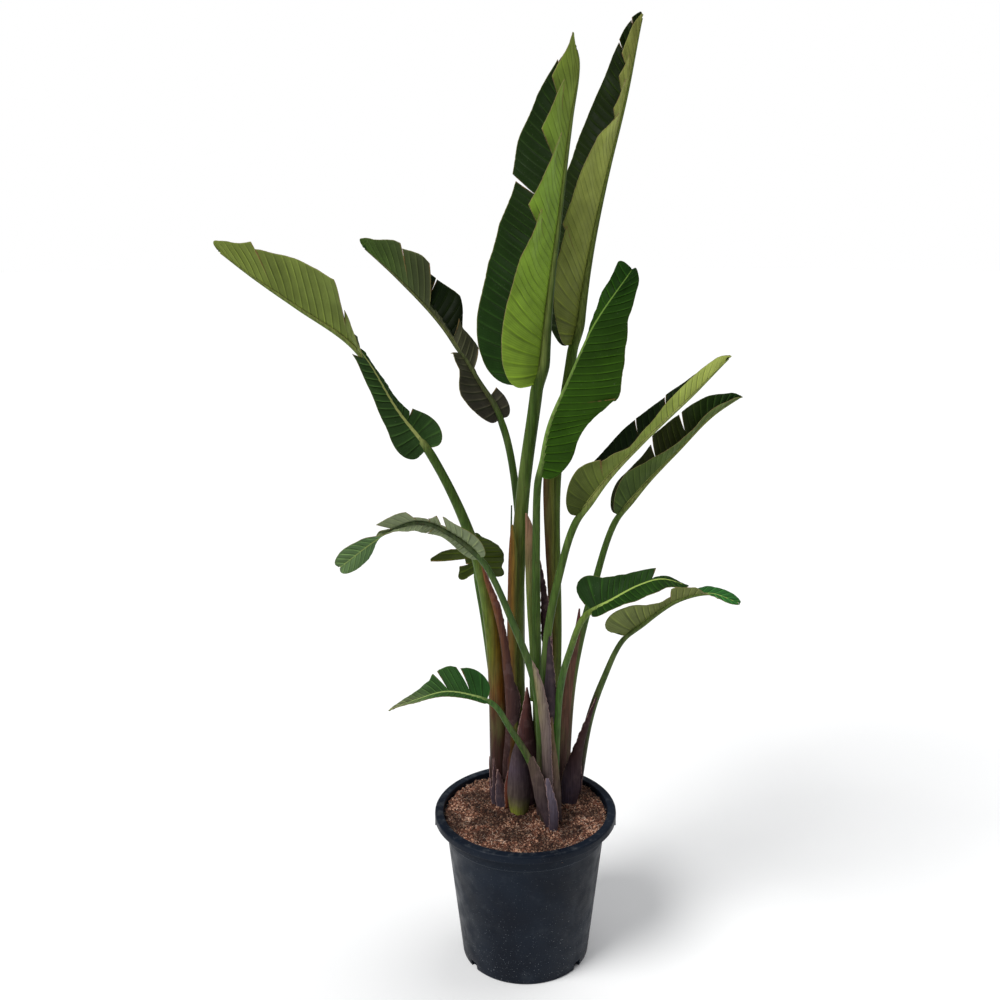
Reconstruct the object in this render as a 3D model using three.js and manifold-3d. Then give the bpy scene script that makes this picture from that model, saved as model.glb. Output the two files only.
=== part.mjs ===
import * as THREE from 'three';
import { mergeVertices } from 'three/addons/utils/BufferGeometryUtils.js';
import Module from 'manifold-3d';

// A bird of paradise plant in a round nursery pot. Millimetres, +Z up.
// The origin is the middle of the pot's underside, and the front of the plant looks along -Y.

const wasm = await Module();
wasm.setup();

// Clearance kept between two pieces that touch
const gap = 0.35;

// Pot
const rimRadius = 150.5;
const potHeight = 264.5;
const baseRadius = 107;
const wall = 3;
const lipDrop = 13;
const lipWidth = 14.5;
const lipRound = 4;
const collarRadius = 134;
const collarDrop = 38;
const bodyTopRadius = 131;
const potFloor = 4;
const potSides = 48;
const tabWidth = 30;
const tabDrop = 24;
const tabThickness = 2.4;
const notchAngles = [53, 90, 127, 233, 270, 307];
const notchWidth = 16;
const notchHeight = 13;
const notchDepth = 8;

// Soil
const soilLevel = 252;
const soilSwell = 2.5;
const soilRings = 5;
const soilSides = 26;
const soilSlack = 0.9;

// Leaf
const bladeThickness = 1.1;
const bladeStart = 15;
const tipWidth = 3;
const tipRounding = 0.14;
const footRounding = 0.1;
const footShare = 0.25;
const tearGap = 1.6;
const foldReach = 0.45;
const veinAtFoot = -25;
const veinAtTip = 72;
const veinRise = 12;
const bladeRows = 10;
const rowsForLength = 480;
const ribSteps = 8;
const ribSides = 5;
const ribSpare = 4;
const stalkStep = 70;
const stalkSides = 9;
const stalkFlatness = 0.82;
const sheathReach = 0.95;

// Each leaf follows one line: stalk is its points from the soil to the blade, rib its points from
// there to the tip. r is the line's radius at the soil, at the foot of the blade and at the tip.
// The blade has two halves, a and b. At even steps from foot to tip, w is a half's width and psi
// the way it points, in degrees round the rib: 0 to the right of the rib's travel, 90 to the front.
// The glossy face lies between a and b. slit is how far out the blade stays whole, as a share of
// its width. Each lobe ends at a share of the rib and is turned, from its start to its end, by two
// angles. Two shares of the half's width, at its start and its end, may follow.
const leaves = [
  {
    stalk: [[40, 38, 230], [50, 58, 545], [52, 78, 815], [75, 95, 1020]],
    rib: [[75, 95, 1020], [100, 120, 1161], [125, 145, 1287], [150, 165, 1402], [180, 190, 1538]],
    r: [15, 8.5, 2], slit: 0.25,
    a: {
      w: [60, 100, 105, 105, 100, 85, 60, 50, 40],
      psi: [120, 118, 118, 120, 122, 100, 100, 112, 112], curl: 10, lean: 32,
      lobes: [[0.2, 0, 0], [0.58, 10, -25], [0.72, 8, -10], [0.86, 8, -10], [1, 12, 0]],
    },
    b: {
      w: [60, 100, 115, 108, 88, 68, 50, 32, 22],
      psi: [235, 232, 230, 225, 222, 215, 212, 210, 205], curl: 0, lean: 20,
      lobes: [[0.86, 0, 0], [0.93, 20, 0], [1, 30, 0]],
    },
  },
  {
    stalk: [[-6, 30, 230], [-16, 42, 547], [-7, 35, 790], [10, 20, 967]],
    rib: [[10, 20, 967], [37, 10, 1108], [54, 0, 1232], [66, -5, 1365], [68, -10, 1460]],
    r: [17, 10, 2.5], slit: 0.3,
    a: {
      w: [88, 104, 108, 108, 105, 98, 90, 80, 60],
      psi: [145, 135, 128, 120, 112, 108, 108, 108, 110], curl: 8, lean: 34,
      lobes: [[0.46, 0, -28], [0.65, 2, -18], [0.8, 12, -18], [1, 12, 0]],
    },
    b: {
      w: [105, 125, 125, 125, 122, 112, 85, 50, 24],
      psi: [212, 215, 218, 220, 222, 220, 215, 212, 205], curl: 5, lean: 14,
      lobes: [[0.56, 0, 5, 1, 0.95], [0.9, -8, 0, 1.05, 1], [1, 10, 0]],
    },
  },
  {
    stalk: [[25, 14, 230], [18, 8, 563], [17, -5, 735], [24, -20, 839]],
    rib: [[24, -20, 839], [52, -50, 947], [93, -80, 1043], [125, -105, 1116], [145, -118, 1160]],
    r: [10, 6, 2], slit: 0.35,
    a: {
      w: [42, 58, 75, 92, 76, 56, 44, 38, 32],
      psi: [10, 5, 0, 0, 0, -5, -10, -20, -60], curl: -6, lean: 20,
      lobes: [[0.35, 0, 12, 1, 0.9], [1, -4, 0, 1, 1]],
    },
    b: {
      w: [35, 55, 68, 75, 72, 58, 46, 35, 25],
      psi: [295, 295, 290, 285, 275, 250, 235, 230, 235], curl: 0, lean: 20,
      lobes: [[1, 0, 0]],
    },
  },
  {
    stalk: [[-42, 52, 230], [-59, 50, 563], [-93, 30, 725], [-149, 0, 870]],
    rib: [
      [-149, 0, 870], [-195, -15, 944], [-249, -35, 1041], [-329, -50, 1108], [-396, -60, 1158],
      [-436, -70, 1183],
    ],
    r: [22, 9, 2], slit: 0.2,
    a: {
      w: [45, 50, 40, 35, 45, 60, 60, 50, 30],
      psi: [-30, -60, -78, -78, -80, -78, -75, -75, -75], curl: 0, lean: 20,
      lobes: [[0.12, 20, -10, 1, 0.8], [0.42, 0, 0, 0.4, 0.8], [1, 0, 0]],
    },
    b: {
      w: [44, 44, 40, 38, 95, 96, 76, 60, 22], tipRound: 0.05,
      psi: [165, 150, 130, 115, 70, 45, 45, 45, 45], curl: 0, lean: 34,
      lobes: [
        [0.44, 0, 0, 1, 0.75], [0.55, -25, -5, 0.75, 0.8], [0.82, 0, 0, 1.1, 0.95], [1, 0, 0, 1.15, 1],
      ],
    },
  },
  {
    stalk: [[-10, 66, 230], [-8, 68, 611], [-11, 68, 749], [-36, 70, 903]],
    rib: [[-36, 70, 903], [-77, 90, 976], [-127, 115, 1061], [-195, 135, 1135], [-260, 150, 1183]],
    r: [8, 6, 2], slit: 0.15,
    a: {
      w: [32, 40, 42, 40, 60, 60, 55, 45, 28],
      psi: [125, 122, 120, 122, 330, 335, 335, 335, 335], curl: 0, lean: 22,
      lobes: [[0.36, 0, -10], [0.45, 0, 0, 0.3, 0.5], [0.58, 0, 0, 1, 0.9], [1, 0, 0]],
    },
    b: {
      w: [30, 32, 42, 45, 80, 78, 66, 50, 24], tipRound: 0.05,
      psi: [330, 310, 300, 345, 375, 388, 390, 392, 395], curl: 0, lean: 40,
      lobes: [
        [0.14, 0, 0, 1, 0.9], [0.28, 0, 0, 0.3, 0.3], [0.5, 10, 0, 0.6, 0.35], [0.8, 0, 0, 1.08, 0.95],
        [1, 10, 0, 1.1, 1],
      ],
    },
  },
  {
    stalk: [[48, 16, 230], [33, -12, 549], [51, -12, 694], [73, -20, 767]],
    rib: [[73, -20, 767], [114, -30, 833], [173, -40, 903], [245, -50, 977], [300, -60, 1031]],
    r: [9, 6, 1.8], slit: 0.2,
    a: {
      w: [32, 50, 55, 54, 54, 54, 48, 38, 22],
      psi: [150, 150, 136, 116, 114, 116, 120, 122, 122], curl: 0, lean: 30,
      lobes: [[0.28, 0, -10, 1, 0.85], [1, 0, 0]],
    },
    b: {
      w: [32, 40, 42, 42, 42, 40, 34, 28, 18],
      psi: [232, 234, 235, 236, 240, 250, 262, 262, 262], curl: 0, lean: 25,
      lobes: [[0.42, 0, 0], [1, 0, 0]],
    },
  },
  {
    stalk: [[66, 52, 230], [81, 62, 468], [111, 72, 626], [146, 80, 741]],
    rib: [[146, 80, 741], [190, 95, 792], [256, 110, 857], [308, 120, 909], [356, 130, 942]],
    r: [11, 6, 1.8], slit: 0.2,
    a: {
      w: [20, 38, 46, 46, 44, 42, 36, 26, 14],
      psi: [150, 150, 140, 125, 118, 115, 115, 115, 118], curl: 10, lean: 30,
      lobes: [[1, 0, 0]],
    },
    b: {
      w: [28, 34, 36, 38, 38, 40, 38, 28, 16],
      psi: [225, 225, 222, 220, 220, 215, 210, 205, 200], curl: 0, lean: 25,
      lobes: [[0.3, 5, 0, 1, 0.85], [0.6, -8, 0, 1.15, 1], [1, -5, 0, 1.3, 1]],
    },
  },
  {
    stalk: [[28, -10, 230], [17, -30, 491], [-21, -45, 613], [-64, -60, 714]],
    rib: [[-64, -60, 714], [-106, -80, 762], [-157, -100, 790], [-207, -120, 776], [-271, -140, 733]],
    r: [9, 5, 1.5], slit: 0.15,
    a: {
      w: [18, 22, 22, 20, 20, 26, 30, 28, 24],
      psi: [160, 155, 150, 150, 140, 100, 40, 10, 0], curl: 0, lean: 22,
      lobes: [[0.34, 0, 0], [1, 0, 0]],
    },
    b: {
      w: [30, 38, 38, 36, 34, 34, 30, 28, 24],
      psi: [400, 400, 400, 400, 390, 300, 200, 170, 160], curl: 0, lean: 30,
      lobes: [
        [0.3, 0, 0, 1, 1], [0.34, 0, 0, 0.5, 0.4], [0.5, 0, 10, 0.7, 0.6], [0.62, 0, 10, 1.1, 1], [1, 0, 0],
      ],
    },
  },
  {
    stalk: [[-30, 84, 230], [-50, 88, 400], [-70, 90, 560], [-82, 90, 640]],
    rib: [[-82, 90, 640], [-86, 125, 664], [-88, 158, 680], [-88, 190, 690]],
    r: [8, 5, 1.5], slit: 0.12,
    a: {
      w: [40, 52, 56, 56, 52, 46, 38, 28, 18],
      psi: [-25, -25, -25, -22, -20, -20, -20, -20, -20], curl: 0, lean: 5,
      lobes: [[1, 0, 0]],
    },
    b: {
      w: [50, 60, 84, 90, 62, 46, 36, 26, 18],
      psi: [208, 206, 202, 198, 196, 196, 196, 196, 196], curl: 0, lean: 10,
      lobes: [[0.18, 0, 0, 0.9, 0.8], [0.26, 0, 0, 0.3, 0.3], [0.52, -10, 0, 1, 0.9], [1, 0, 0]],
    },
  },
  {
    stalk: [[46, -4, 230], [56, -20, 486], [71, -40, 563], [93, -60, 628]],
    rib: [[93, -60, 628], [133, -75, 660], [174, -90, 689], [205, -105, 703], [240, -125, 700]],
    r: [8.5, 5, 1.5], slit: 0.15,
    a: {
      w: [30, 38, 42, 42, 40, 36, 30, 22, 15],
      psi: [70, 78, 80, 80, 80, 75, 70, 70, 70], curl: 0, lean: 24,
      lobes: [[1, 0, 0]],
    },
    b: {
      w: [32, 38, 40, 38, 36, 34, 34, 22, 12],
      psi: [215, 225, 230, 232, 232, 235, 240, 270, 280], curl: 0, lean: 26,
      lobes: [[0.68, 0, 0, 1, 0.95], [1, -30, 0, 0.4, 0.8]],
    },
  },
  {
    stalk: [[88, 68, 230], [110, 45, 402], [128, 20, 490], [155, 0, 563]],
    rib: [[155, 0, 563], [192, -10, 596], [245, -25, 635], [292, -40, 654], [336, -60, 653]],
    r: [10, 4.5, 1.5], slit: 0.15,
    a: {
      w: [50, 54, 48, 40, 36, 32, 30, 28, 20],
      psi: [155, 155, 152, 150, 150, 140, 90, 60, 60], curl: 0, lean: 24,
      lobes: [[0.44, 0, -5, 1, 0.5], [0.7, 10, 0, 1, 0.4], [1, 0, 0, 0.8, 1]],
    },
    b: {
      w: [35, 45, 45, 40, 35, 32, 30, 28, 20],
      psi: [290, 290, 290, 290, 285, 270, 240, 220, 215], curl: 0, lean: 24,
      lobes: [[1, 0, 0]],
    },
  },
  {
    stalk: [[38, -28, 230], [12, -45, 360], [-25, -65, 441], [-51, -80, 489]],
    rib: [[-51, -80, 489], [-86, -100, 513], [-123, -115, 525], [-163, -130, 520], [-204, -145, 510]],
    r: [8.5, 4.5, 1.5], slit: 0.1,
    a: {
      w: [36, 46, 52, 50, 44, 34, 22, 14, 9],
      psi: [-50, -55, -55, -55, -55, -60, -60, -60, -60], curl: 0, lean: 26,
      lobes: [
        [0.27, 0, 0, 0.85, 1.05], [0.3, 0, 0, 0.2, 0.2], [0.58, 0, 0, 0.95, 1], [0.76, 0, 0, 0.6, 0.8],
        [1, 0, 0, 0.8, 1],
      ],
    },
    b: {
      w: [35, 42, 42, 40, 36, 32, 26, 20, 12],
      psi: [90, 82, 80, 80, 78, 75, 75, 75, 75], curl: 0, lean: 26,
      lobes: [[1, 0, 0]],
    },
  },
];

// The rolled leaf that stands between the left stalks
const spear = {
  line: [[-32, 24, 230], [-24, 22, 420], [-24, 40, 600], [-24, 62, 690], [-23, 80, 770]],
  r: [7, 5.5, 1.2],
  steps: 8,
};

// Old sheaths: which leaf's stalk each one wraps, from what height to what height, which way it
// faces and how far round it reaches, in degrees
const sheaths = [
  { leaf: 3, from: 238, to: 330, face: 200, reach: 150 },
  { leaf: 0, from: 236, to: 560, face: 120, reach: 120 },
  { leaf: 1, from: 236, to: 430, face: 40, reach: 130 },
  { leaf: 10, from: 236, to: 330, face: 110, reach: 170 },
  { leaf: 11, from: 236, to: 300, face: 300, reach: 150 },
];
const sheathThickness = 1.6;
const sheathOff = 0.6;
const sheathSteps = 7;
const sheathArc = 5;

// Colour and roughness of each kind of piece
const looks = {
  pot: [0x20252a, 0.45],
  soil: [0x6b4a3a, 0.95],
  blade: [0x3f6a2c, 0.45],
  stalk: [0x5a6b2e, 0.5],
  spear: [0x35522a, 0.5],
  sheath: [0x5b4250, 0.7],
};

const { clamp, degToRad, radToDeg, smoothstep } = THREE.MathUtils;

// Turn a closed geometry into a solid, and a solid into a geometry
function solid(geometry) {
  const bare = geometry.clone();
  for (const name of Object.keys(bare.attributes)) {
    if (name !== 'position') bare.deleteAttribute(name);
  }
  const merged = mergeVertices(bare, 1e-4);
  return new wasm.Manifold(new wasm.Mesh({
    numProp: 3,
    vertProperties: new Float32Array(merged.attributes.position.array),
    triVerts: new Uint32Array(merged.index.array),
  }));
}

function geometryOf(body) {
  const mesh = body.getMesh();
  const geometry = new THREE.BufferGeometry();
  geometry.setAttribute('position', new THREE.BufferAttribute(mesh.vertProperties, 3));
  geometry.setIndex(new THREE.BufferAttribute(mesh.triVerts, 1));
  geometry.computeVertexNormals();
  return geometry;
}

// The biggest whole piece of a solid that a cut may have left in several
function biggest(body) {
  const pieces = body.decompose();
  pieces.sort((p, q) => q.volume() - p.volume());
  return pieces[0];
}

// Smoothed value of a table with even steps, at a share u of its length
function along(table, u) {
  const x = Math.min(Math.max(u, 0), 1) * (table.length - 1);
  const i = Math.min(Math.floor(x), table.length - 2);
  const f = x - i;
  const g = (f * f * (3 - 2 * f) + f) / 2;
  return table[i] * (1 - g) + table[i + 1] * g;
}

// A smooth line through points, with its length and the place of each point along it
function line(points) {
  const spots = points.map((p) => new THREE.Vector3(...p));
  const curve = new THREE.CatmullRomCurve3(spots, false, 'centripetal');
  const perSpan = 60;
  curve.arcLengthDivisions = perSpan * (points.length - 1);
  const lengths = curve.getLengths();
  return { curve, length: lengths.at(-1), knots: points.map((_, i) => lengths[i * perSpan]) };
}

// Axes at a distance along a line: its way, its front side and its right side
function axesAt(path, s) {
  const u = Math.min(Math.max(s / path.length, 0), 1);
  const at = path.curve.getPointAt(u);
  const way = path.curve.getTangentAt(u);
  const front = new THREE.Vector3(0, -1, 0);
  front.addScaledVector(way, -front.dot(way)).normalize();
  const right = new THREE.Vector3().crossVectors(way, front);
  return { at, way, front, right };
}

// A closed tube along a line from one distance to another, radius(s) wide. extra widens it all round.
function tube(path, from, to, radius, sides, steps, extra = 0) {
  const geometry = new THREE.CylinderGeometry(1, 1, 1, sides, steps);
  const spots = geometry.attributes.position;
  for (let i = 0; i < spots.count; i += 1) {
    const s = from + (to - from) * (spots.getY(i) + 0.5);
    const { at, front, right } = axesAt(path, s);
    const r = radius(s);
    at.addScaledVector(right, spots.getX(i) * (r + extra));
    at.addScaledVector(front, spots.getZ(i) * (r * stalkFlatness + extra));
    spots.setXYZ(i, at.x, at.y, at.z);
  }
  return solid(geometry);
}

// Radius of a leaf's line: broad at the soil, slim below the blade, fine at the tip
function stalkRadius(leaf, path, foot) {
  const [atSoil, atFoot, atTip] = leaf.r;
  return (s) => {
    if (s > foot) return atFoot + (atTip - atFoot) * (s - foot) / (path.length - foot);
    return atFoot + (atSoil - atFoot) * Math.max(0, 1 - s / foot / sheathReach) ** 1.2;
  };
}

// Width of a half blade at a share u of the rib, rounded off at its foot and its tip
function halfWidth(half, u) {
  const tipRound = half.tipRound ?? tipRounding;
  const fromFoot = Math.max(0, 1 - u / footRounding);
  const intoTip = Math.max(0, 1 - (1 - u) / tipRound);
  const footPart = footShare + (1 - footShare) * Math.sqrt(1 - fromFoot ** 2);
  const tipPart = Math.max(0, 1 - intoTip ** 2) ** 0.55;
  return Math.max(along(half.w, u) * footPart * tipPart, tipWidth);
}

// Lean of a vein towards the tip, in degrees: back at the foot, far forward at the tip
function veinLean(half, u) {
  const footReach = 0.22;
  const tipReach = 0.45;
  const rise = 1 - Math.max(0, 1 - u / footReach) ** 2;
  const sweep = Math.max(0, 1 - (1 - u) / tipReach) ** 1.8;
  return veinAtFoot + (half.lean - veinAtFoot) * rise + (veinAtTip - half.lean) * sweep;
}

// Points of one vein, from the rib to the margin, on the half's middle sheet
function vein(path, foot, half, side, u, columns, slit, turn, share, shift) {
  const s = foot + bladeStart + (path.length - foot - bladeStart) * u;
  const { at, way, front, right } = axesAt(path, s);
  const width = halfWidth(half, u);
  const lean = veinLean(half, u);
  const points = [at.clone()];
  const spot = at.clone();
  for (let j = 1; j < columns.length; j += 1) {
    const t = columns[j];
    const before = columns[j - 1];
    const ramp = smoothstep(t, slit, slit + foldReach);
    const bend = half.curl * (t + before) / 2 + turn * ramp;
    const psi = degToRad(along(half.psi, u) + side * bend);
    const alpha = degToRad(lean + veinRise * t);
    const whole = t <= slit + 1e-6;
    const step = (t - before) * width * (whole ? 1 : (share - slit) / (1 - slit));
    spot.addScaledVector(right, step * Math.cos(alpha) * Math.cos(psi));
    spot.addScaledVector(front, step * Math.cos(alpha) * Math.sin(psi));
    spot.addScaledVector(way, step * Math.sin(alpha));
    const apart = whole ? 0 : shift * (t - slit) / (1 - slit);
    points.push(spot.clone().addScaledVector(way, apart));
  }
  return points;
}

// One half of a blade as a thin closed solid, slit between its lobes
function halfBlade(path, foot, slit, half, side, rows) {
  const columns = [0, slit, slit + (1 - slit) * foldReach, 1];
  const spots = [];
  const faces = [];
  const shared = new Map();
  const place = (point, key) => {
    if (key && shared.has(key)) return shared.get(key);
    spots.push(point);
    if (key) shared.set(key, spots.length - 1);
    return spots.length - 1;
  };
  let start = 0;
  half.lobes.forEach((lobe, index) => {
    const [end, turnStart, turnEnd, shareStart = 1, shareEnd = 1] = lobe;
    const steps = Math.max(1, Math.round((end - start) * rows));
    const first = index === 0;
    const last = index === half.lobes.length - 1;
    let previous = null;
    for (let i = 0; i <= steps; i += 1) {
      const f = i / steps;
      const u = start + (end - start) * f;
      let shift = 0;
      if (i === 0 && !first) shift = tearGap;
      if (i === steps && !last) shift = -tearGap;
      const turn = turnStart + (turnEnd - turnStart) * f;
      const share = shareStart + (shareEnd - shareStart) * f;
      const row = vein(path, foot, half, side, u, columns, slit, turn, share, shift)
        .map((point, j) => place(point, j <= 1 ? `${u.toFixed(4)}/${j}` : null));
      if (previous) {
        for (let j = 0; j + 1 < row.length; j += 1) {
          const [p, q, r, s] = [previous[j], previous[j + 1], row[j + 1], row[j]];
          if (side > 0) faces.push([p, q, r], [p, r, s]);
          else faces.push([r, q, p], [s, r, p]);
        }
      }
      previous = row;
    }
    start = end;
  });
  return thicken(spots, faces, bladeThickness);
}

// A closed solid from an open sheet: the sheet twice, half a thickness to either side, and a wall
// along each open edge. Both faces are split into triangles alike.
function thicken(spots, faces, thickness) {
  const normals = spots.map(() => new THREE.Vector3());
  const ways = new Set();
  for (const [p, q, r] of faces) {
    const normal = new THREE.Vector3().subVectors(spots[q], spots[p])
      .cross(new THREE.Vector3().subVectors(spots[r], spots[p]));
    for (const i of [p, q, r]) normals[i].add(normal);
    ways.add(`${p},${q}`).add(`${q},${r}`).add(`${r},${p}`);
  }
  const positions = [];
  for (const sign of [1, -1]) {
    spots.forEach((spot, i) => {
      const away = normals[i].clone().normalize().multiplyScalar(sign * thickness / 2);
      positions.push(...spot.clone().add(away).toArray());
    });
  }
  const under = spots.length;
  const index = [];
  for (const [p, q, r] of faces) {
    index.push(p, q, r, under + p, under + r, under + q);
  }
  for (const way of ways) {
    const [p, q] = way.split(',').map(Number);
    if (!ways.has(`${q},${p}`)) index.push(q, p, under + p, q, under + p, under + q);
  }
  const geometry = new THREE.BufferGeometry();
  geometry.setAttribute('position', new THREE.Float32BufferAttribute(positions, 3));
  geometry.setIndex(index);
  return solid(geometry);
}

// The stalk of a leaf, and its blade: two halves joined by the midrib
function leafParts(leaf) {
  const path = line([...leaf.stalk, ...leaf.rib.slice(1)]);
  const foot = path.knots[leaf.stalk.length - 1];
  const radius = stalkRadius(leaf, path, foot);
  const steps = Math.max(6, Math.round(foot / stalkStep));
  const rows = bladeRows * clamp(0.35 + 0.65 * (path.length - foot) / rowsForLength, 0.6, 1.15);
  const stalkEnd = foot - gap / 2;
  const rib = tube(path, foot + gap / 2, path.length - ribSpare, radius, ribSides, ribSteps);
  return {
    path,
    radius,
    stalk: tube(path, 0, stalkEnd, radius, stalkSides, steps),
    room: tube(path, -gap, stalkEnd, radius, stalkSides, steps, gap),
    blade: rib
      .add(halfBlade(path, foot, leaf.slit, leaf.a, 1, rows))
      .add(halfBlade(path, foot, leaf.slit, leaf.b, -1, rows)),
  };
}

// A torn old sheath: a curved strip round a stalk, pointed at its top. spare widens it all round.
function sheathStrip(sheath, parts, spare = 0) {
  const { path, radius } = parts[sheath.leaf];
  const heightAt = (s) => path.curve.getPointAt(s / path.length).z;
  let from = 0;
  while (heightAt(from) < sheath.from) from += 2;
  let to = from;
  while (heightAt(to) < sheath.to) to += 2;
  from -= spare;
  to += spare;
  const spots = [];
  const faces = [];
  for (let i = 0; i <= sheathSteps; i += 1) {
    const f = i / sheathSteps;
    const s = from + (to - from) * f;
    const { at, front, right } = axesAt(path, s);
    const spareAngle = radToDeg(spare / radius(s));
    const reach = sheath.reach * (1 - 0.9 * f ** 1.6) / 2 + spareAngle;
    const off = sheathOff + gap + sheathThickness / 2;
    for (let j = 0; j <= sheathArc; j += 1) {
      const angle = degToRad(sheath.face + reach * (2 * j / sheathArc - 1));
      const spot = at.clone()
        .addScaledVector(right, (radius(s) + off) * Math.cos(angle))
        .addScaledVector(front, (radius(s) * stalkFlatness + off) * Math.sin(angle));
      spots.push(spot);
      if (i > 0 && j > 0) {
        const here = spots.length - 1;
        const below = here - sheathArc - 1;
        faces.push([below - 1, below, here], [below - 1, here, here - 1]);
      }
    }
  }
  return thicken(spots, faces, sheathThickness + 2 * spare);
}

// The pot: a turned shell with a rolled lip, two grip tabs and six drain notches
function makePot() {
  const inner = rimRadius - lipWidth;
  const collarFoot = potHeight - collarDrop;
  const lipFoot = potHeight - lipDrop;
  const profile = [
    [0, 0], [baseRadius - wall, 0], [baseRadius - 0.8, 0.9], [baseRadius, wall],
    [bodyTopRadius, collarFoot], [collarRadius - 0.8, collarFoot + 1], [collarRadius, lipFoot - 1],
    [rimRadius - 1.5, lipFoot], [rimRadius, lipFoot + 1.5], [rimRadius, potHeight - lipRound],
    [rimRadius - 1.2, potHeight - 1.2], [rimRadius - lipRound, potHeight], [inner + 2, potHeight],
    [inner + 0.5, potHeight - 0.6], [inner, potHeight - 2], [collarRadius - wall, lipFoot - 4],
    [bodyTopRadius - wall, collarFoot], [baseRadius - wall, potFloor], [0, potFloor],
  ].map(([r, z]) => new THREE.Vector2(r, z));
  let pot = solid(new THREE.LatheGeometry(profile, potSides).rotateX(Math.PI / 2));
  for (const side of [-1, 1]) {
    const tab = new THREE.CylinderGeometry(rimRadius, rimRadius, tabDrop, potSides)
      .rotateX(Math.PI / 2).translate(0, 0, potHeight - lipRound - tabDrop / 2);
    const coreRadius = rimRadius - tabThickness;
    const core = new THREE.CylinderGeometry(coreRadius, coreRadius, tabDrop * 2, potSides)
      .rotateX(Math.PI / 2).translate(0, 0, potHeight - tabDrop);
    const slice = new THREE.BoxGeometry(rimRadius, tabWidth, potHeight)
      .translate(side * rimRadius, 0, potHeight / 2);
    pot = pot.add(solid(tab).subtract(solid(core)).intersect(solid(slice)));
  }
  for (const angle of notchAngles) {
    const notch = new THREE.BoxGeometry(notchWidth, notchDepth * 2, notchHeight * 2)
      .translate(0, -baseRadius - 2, 0)
      .rotateZ(degToRad(angle));
    pot = pot.subtract(solid(notch));
  }
  return pot;
}

// The soil: a plug that fills the pot, gently uneven on top
function makeSoil(rooms) {
  const topRadius = collarRadius - wall - soilSlack;
  const neckRadius = bodyTopRadius - wall - soilSlack;
  const footRadius = baseRadius - wall - soilSlack;
  const floor = potFloor + gap;
  const shape = [
    [0, floor], [footRadius - notchDepth, floor], [footRadius, notchHeight + wall],
    [neckRadius, potHeight - collarDrop], [topRadius, soilLevel - 1],
  ];
  for (let i = 1; i <= soilRings; i += 1) {
    shape.push([topRadius * (1 - i / soilRings), soilLevel]);
  }
  const points = shape.map(([r, z]) => new THREE.Vector2(r, z));
  const geometry = new THREE.LatheGeometry(points, soilSides).rotateX(Math.PI / 2);
  const spots = geometry.attributes.position;
  for (let i = 0; i < spots.count; i += 1) {
    if (spots.getZ(i) > soilLevel - 0.5) {
      const x = spots.getX(i);
      const y = spots.getY(i);
      const swell = Math.sin(x / 19 + 0.6) * Math.cos(y / 23 - 0.4) + 0.5 * Math.sin((x + y) / 11);
      spots.setZ(i, soilLevel + soilSwell * (swell * 0.6 + 0.5));
    }
  }
  return rooms.reduce((soil, room) => soil.subtract(room), solid(geometry));
}

function addMesh(group, name, body, [color, roughness]) {
  const material = new THREE.MeshStandardMaterial({ color, roughness, metalness: 0 });
  const mesh = new THREE.Mesh(geometryOf(body), material);
  mesh.name = name;
  group.add(mesh);
}

const plant = new THREE.Group();
const parts = leaves.map(leafParts);
const two = (n) => String(n).padStart(2, '0');

// Where stalks press on each other the outer one, placed first, keeps its shape
const order = [11, 9, 7, 5, 2, 10, 6, 0, 1, 3, 4, 8];
const placed = [];
for (const i of order) {
  const part = parts[i];
  part.stalk = biggest(placed.reduce((body, other) => body.subtract(other), part.stalk));
  placed.push(part.room);
}

const spearLine = line(spear.line);
const spearRadius = (s) => along(spear.r, s / spearLine.length);
const spearTube = tube(spearLine, 0, spearLine.length, spearRadius, stalkSides, spear.steps);
const spearBody = biggest(placed.reduce((body, other) => body.subtract(other), spearTube));
placed.push(tube(spearLine, -gap, spearLine.length, spearRadius, stalkSides, spear.steps, gap));

const strips = [];
const stripRooms = [];
for (const sheath of sheaths) {
  const strip = sheathStrip(sheath, parts);
  strips.push(biggest([...placed, ...stripRooms].reduce((body, other) => body.subtract(other), strip)));
  stripRooms.push(sheathStrip(sheath, parts, gap));
}

addMesh(plant, 'pot', makePot(), looks.pot);
addMesh(plant, 'soil', biggest(makeSoil([...placed, ...stripRooms])), looks.soil);
parts.forEach((part, i) => {
  addMesh(plant, `leaf_${two(i + 1)}_stalk`, part.stalk, looks.stalk);
  addMesh(plant, `leaf_${two(i + 1)}_blade`, part.blade, looks.blade);
});
addMesh(plant, 'spear', spearBody, looks.spear);
strips.forEach((body, i) => addMesh(plant, `sheath_${two(i + 1)}`, body, looks.sheath));

export default plant;
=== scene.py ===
import math

import bmesh
import bpy
import numpy as np
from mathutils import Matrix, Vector


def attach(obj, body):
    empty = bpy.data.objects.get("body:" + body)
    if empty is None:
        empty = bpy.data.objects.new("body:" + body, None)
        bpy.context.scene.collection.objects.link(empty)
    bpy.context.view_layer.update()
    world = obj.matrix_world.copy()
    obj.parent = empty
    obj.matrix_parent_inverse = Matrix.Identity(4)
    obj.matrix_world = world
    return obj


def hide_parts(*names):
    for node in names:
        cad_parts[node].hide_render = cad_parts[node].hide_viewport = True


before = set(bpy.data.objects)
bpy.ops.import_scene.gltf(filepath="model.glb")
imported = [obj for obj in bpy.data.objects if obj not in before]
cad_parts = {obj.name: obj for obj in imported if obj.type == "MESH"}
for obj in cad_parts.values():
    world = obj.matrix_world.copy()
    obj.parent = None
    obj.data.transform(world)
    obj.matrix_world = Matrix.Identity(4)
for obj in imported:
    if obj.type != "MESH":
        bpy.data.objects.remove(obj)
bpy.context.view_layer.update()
mm = 0.001
print("frame loaded:", len(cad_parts), "nodes")


# small helpers

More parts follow.
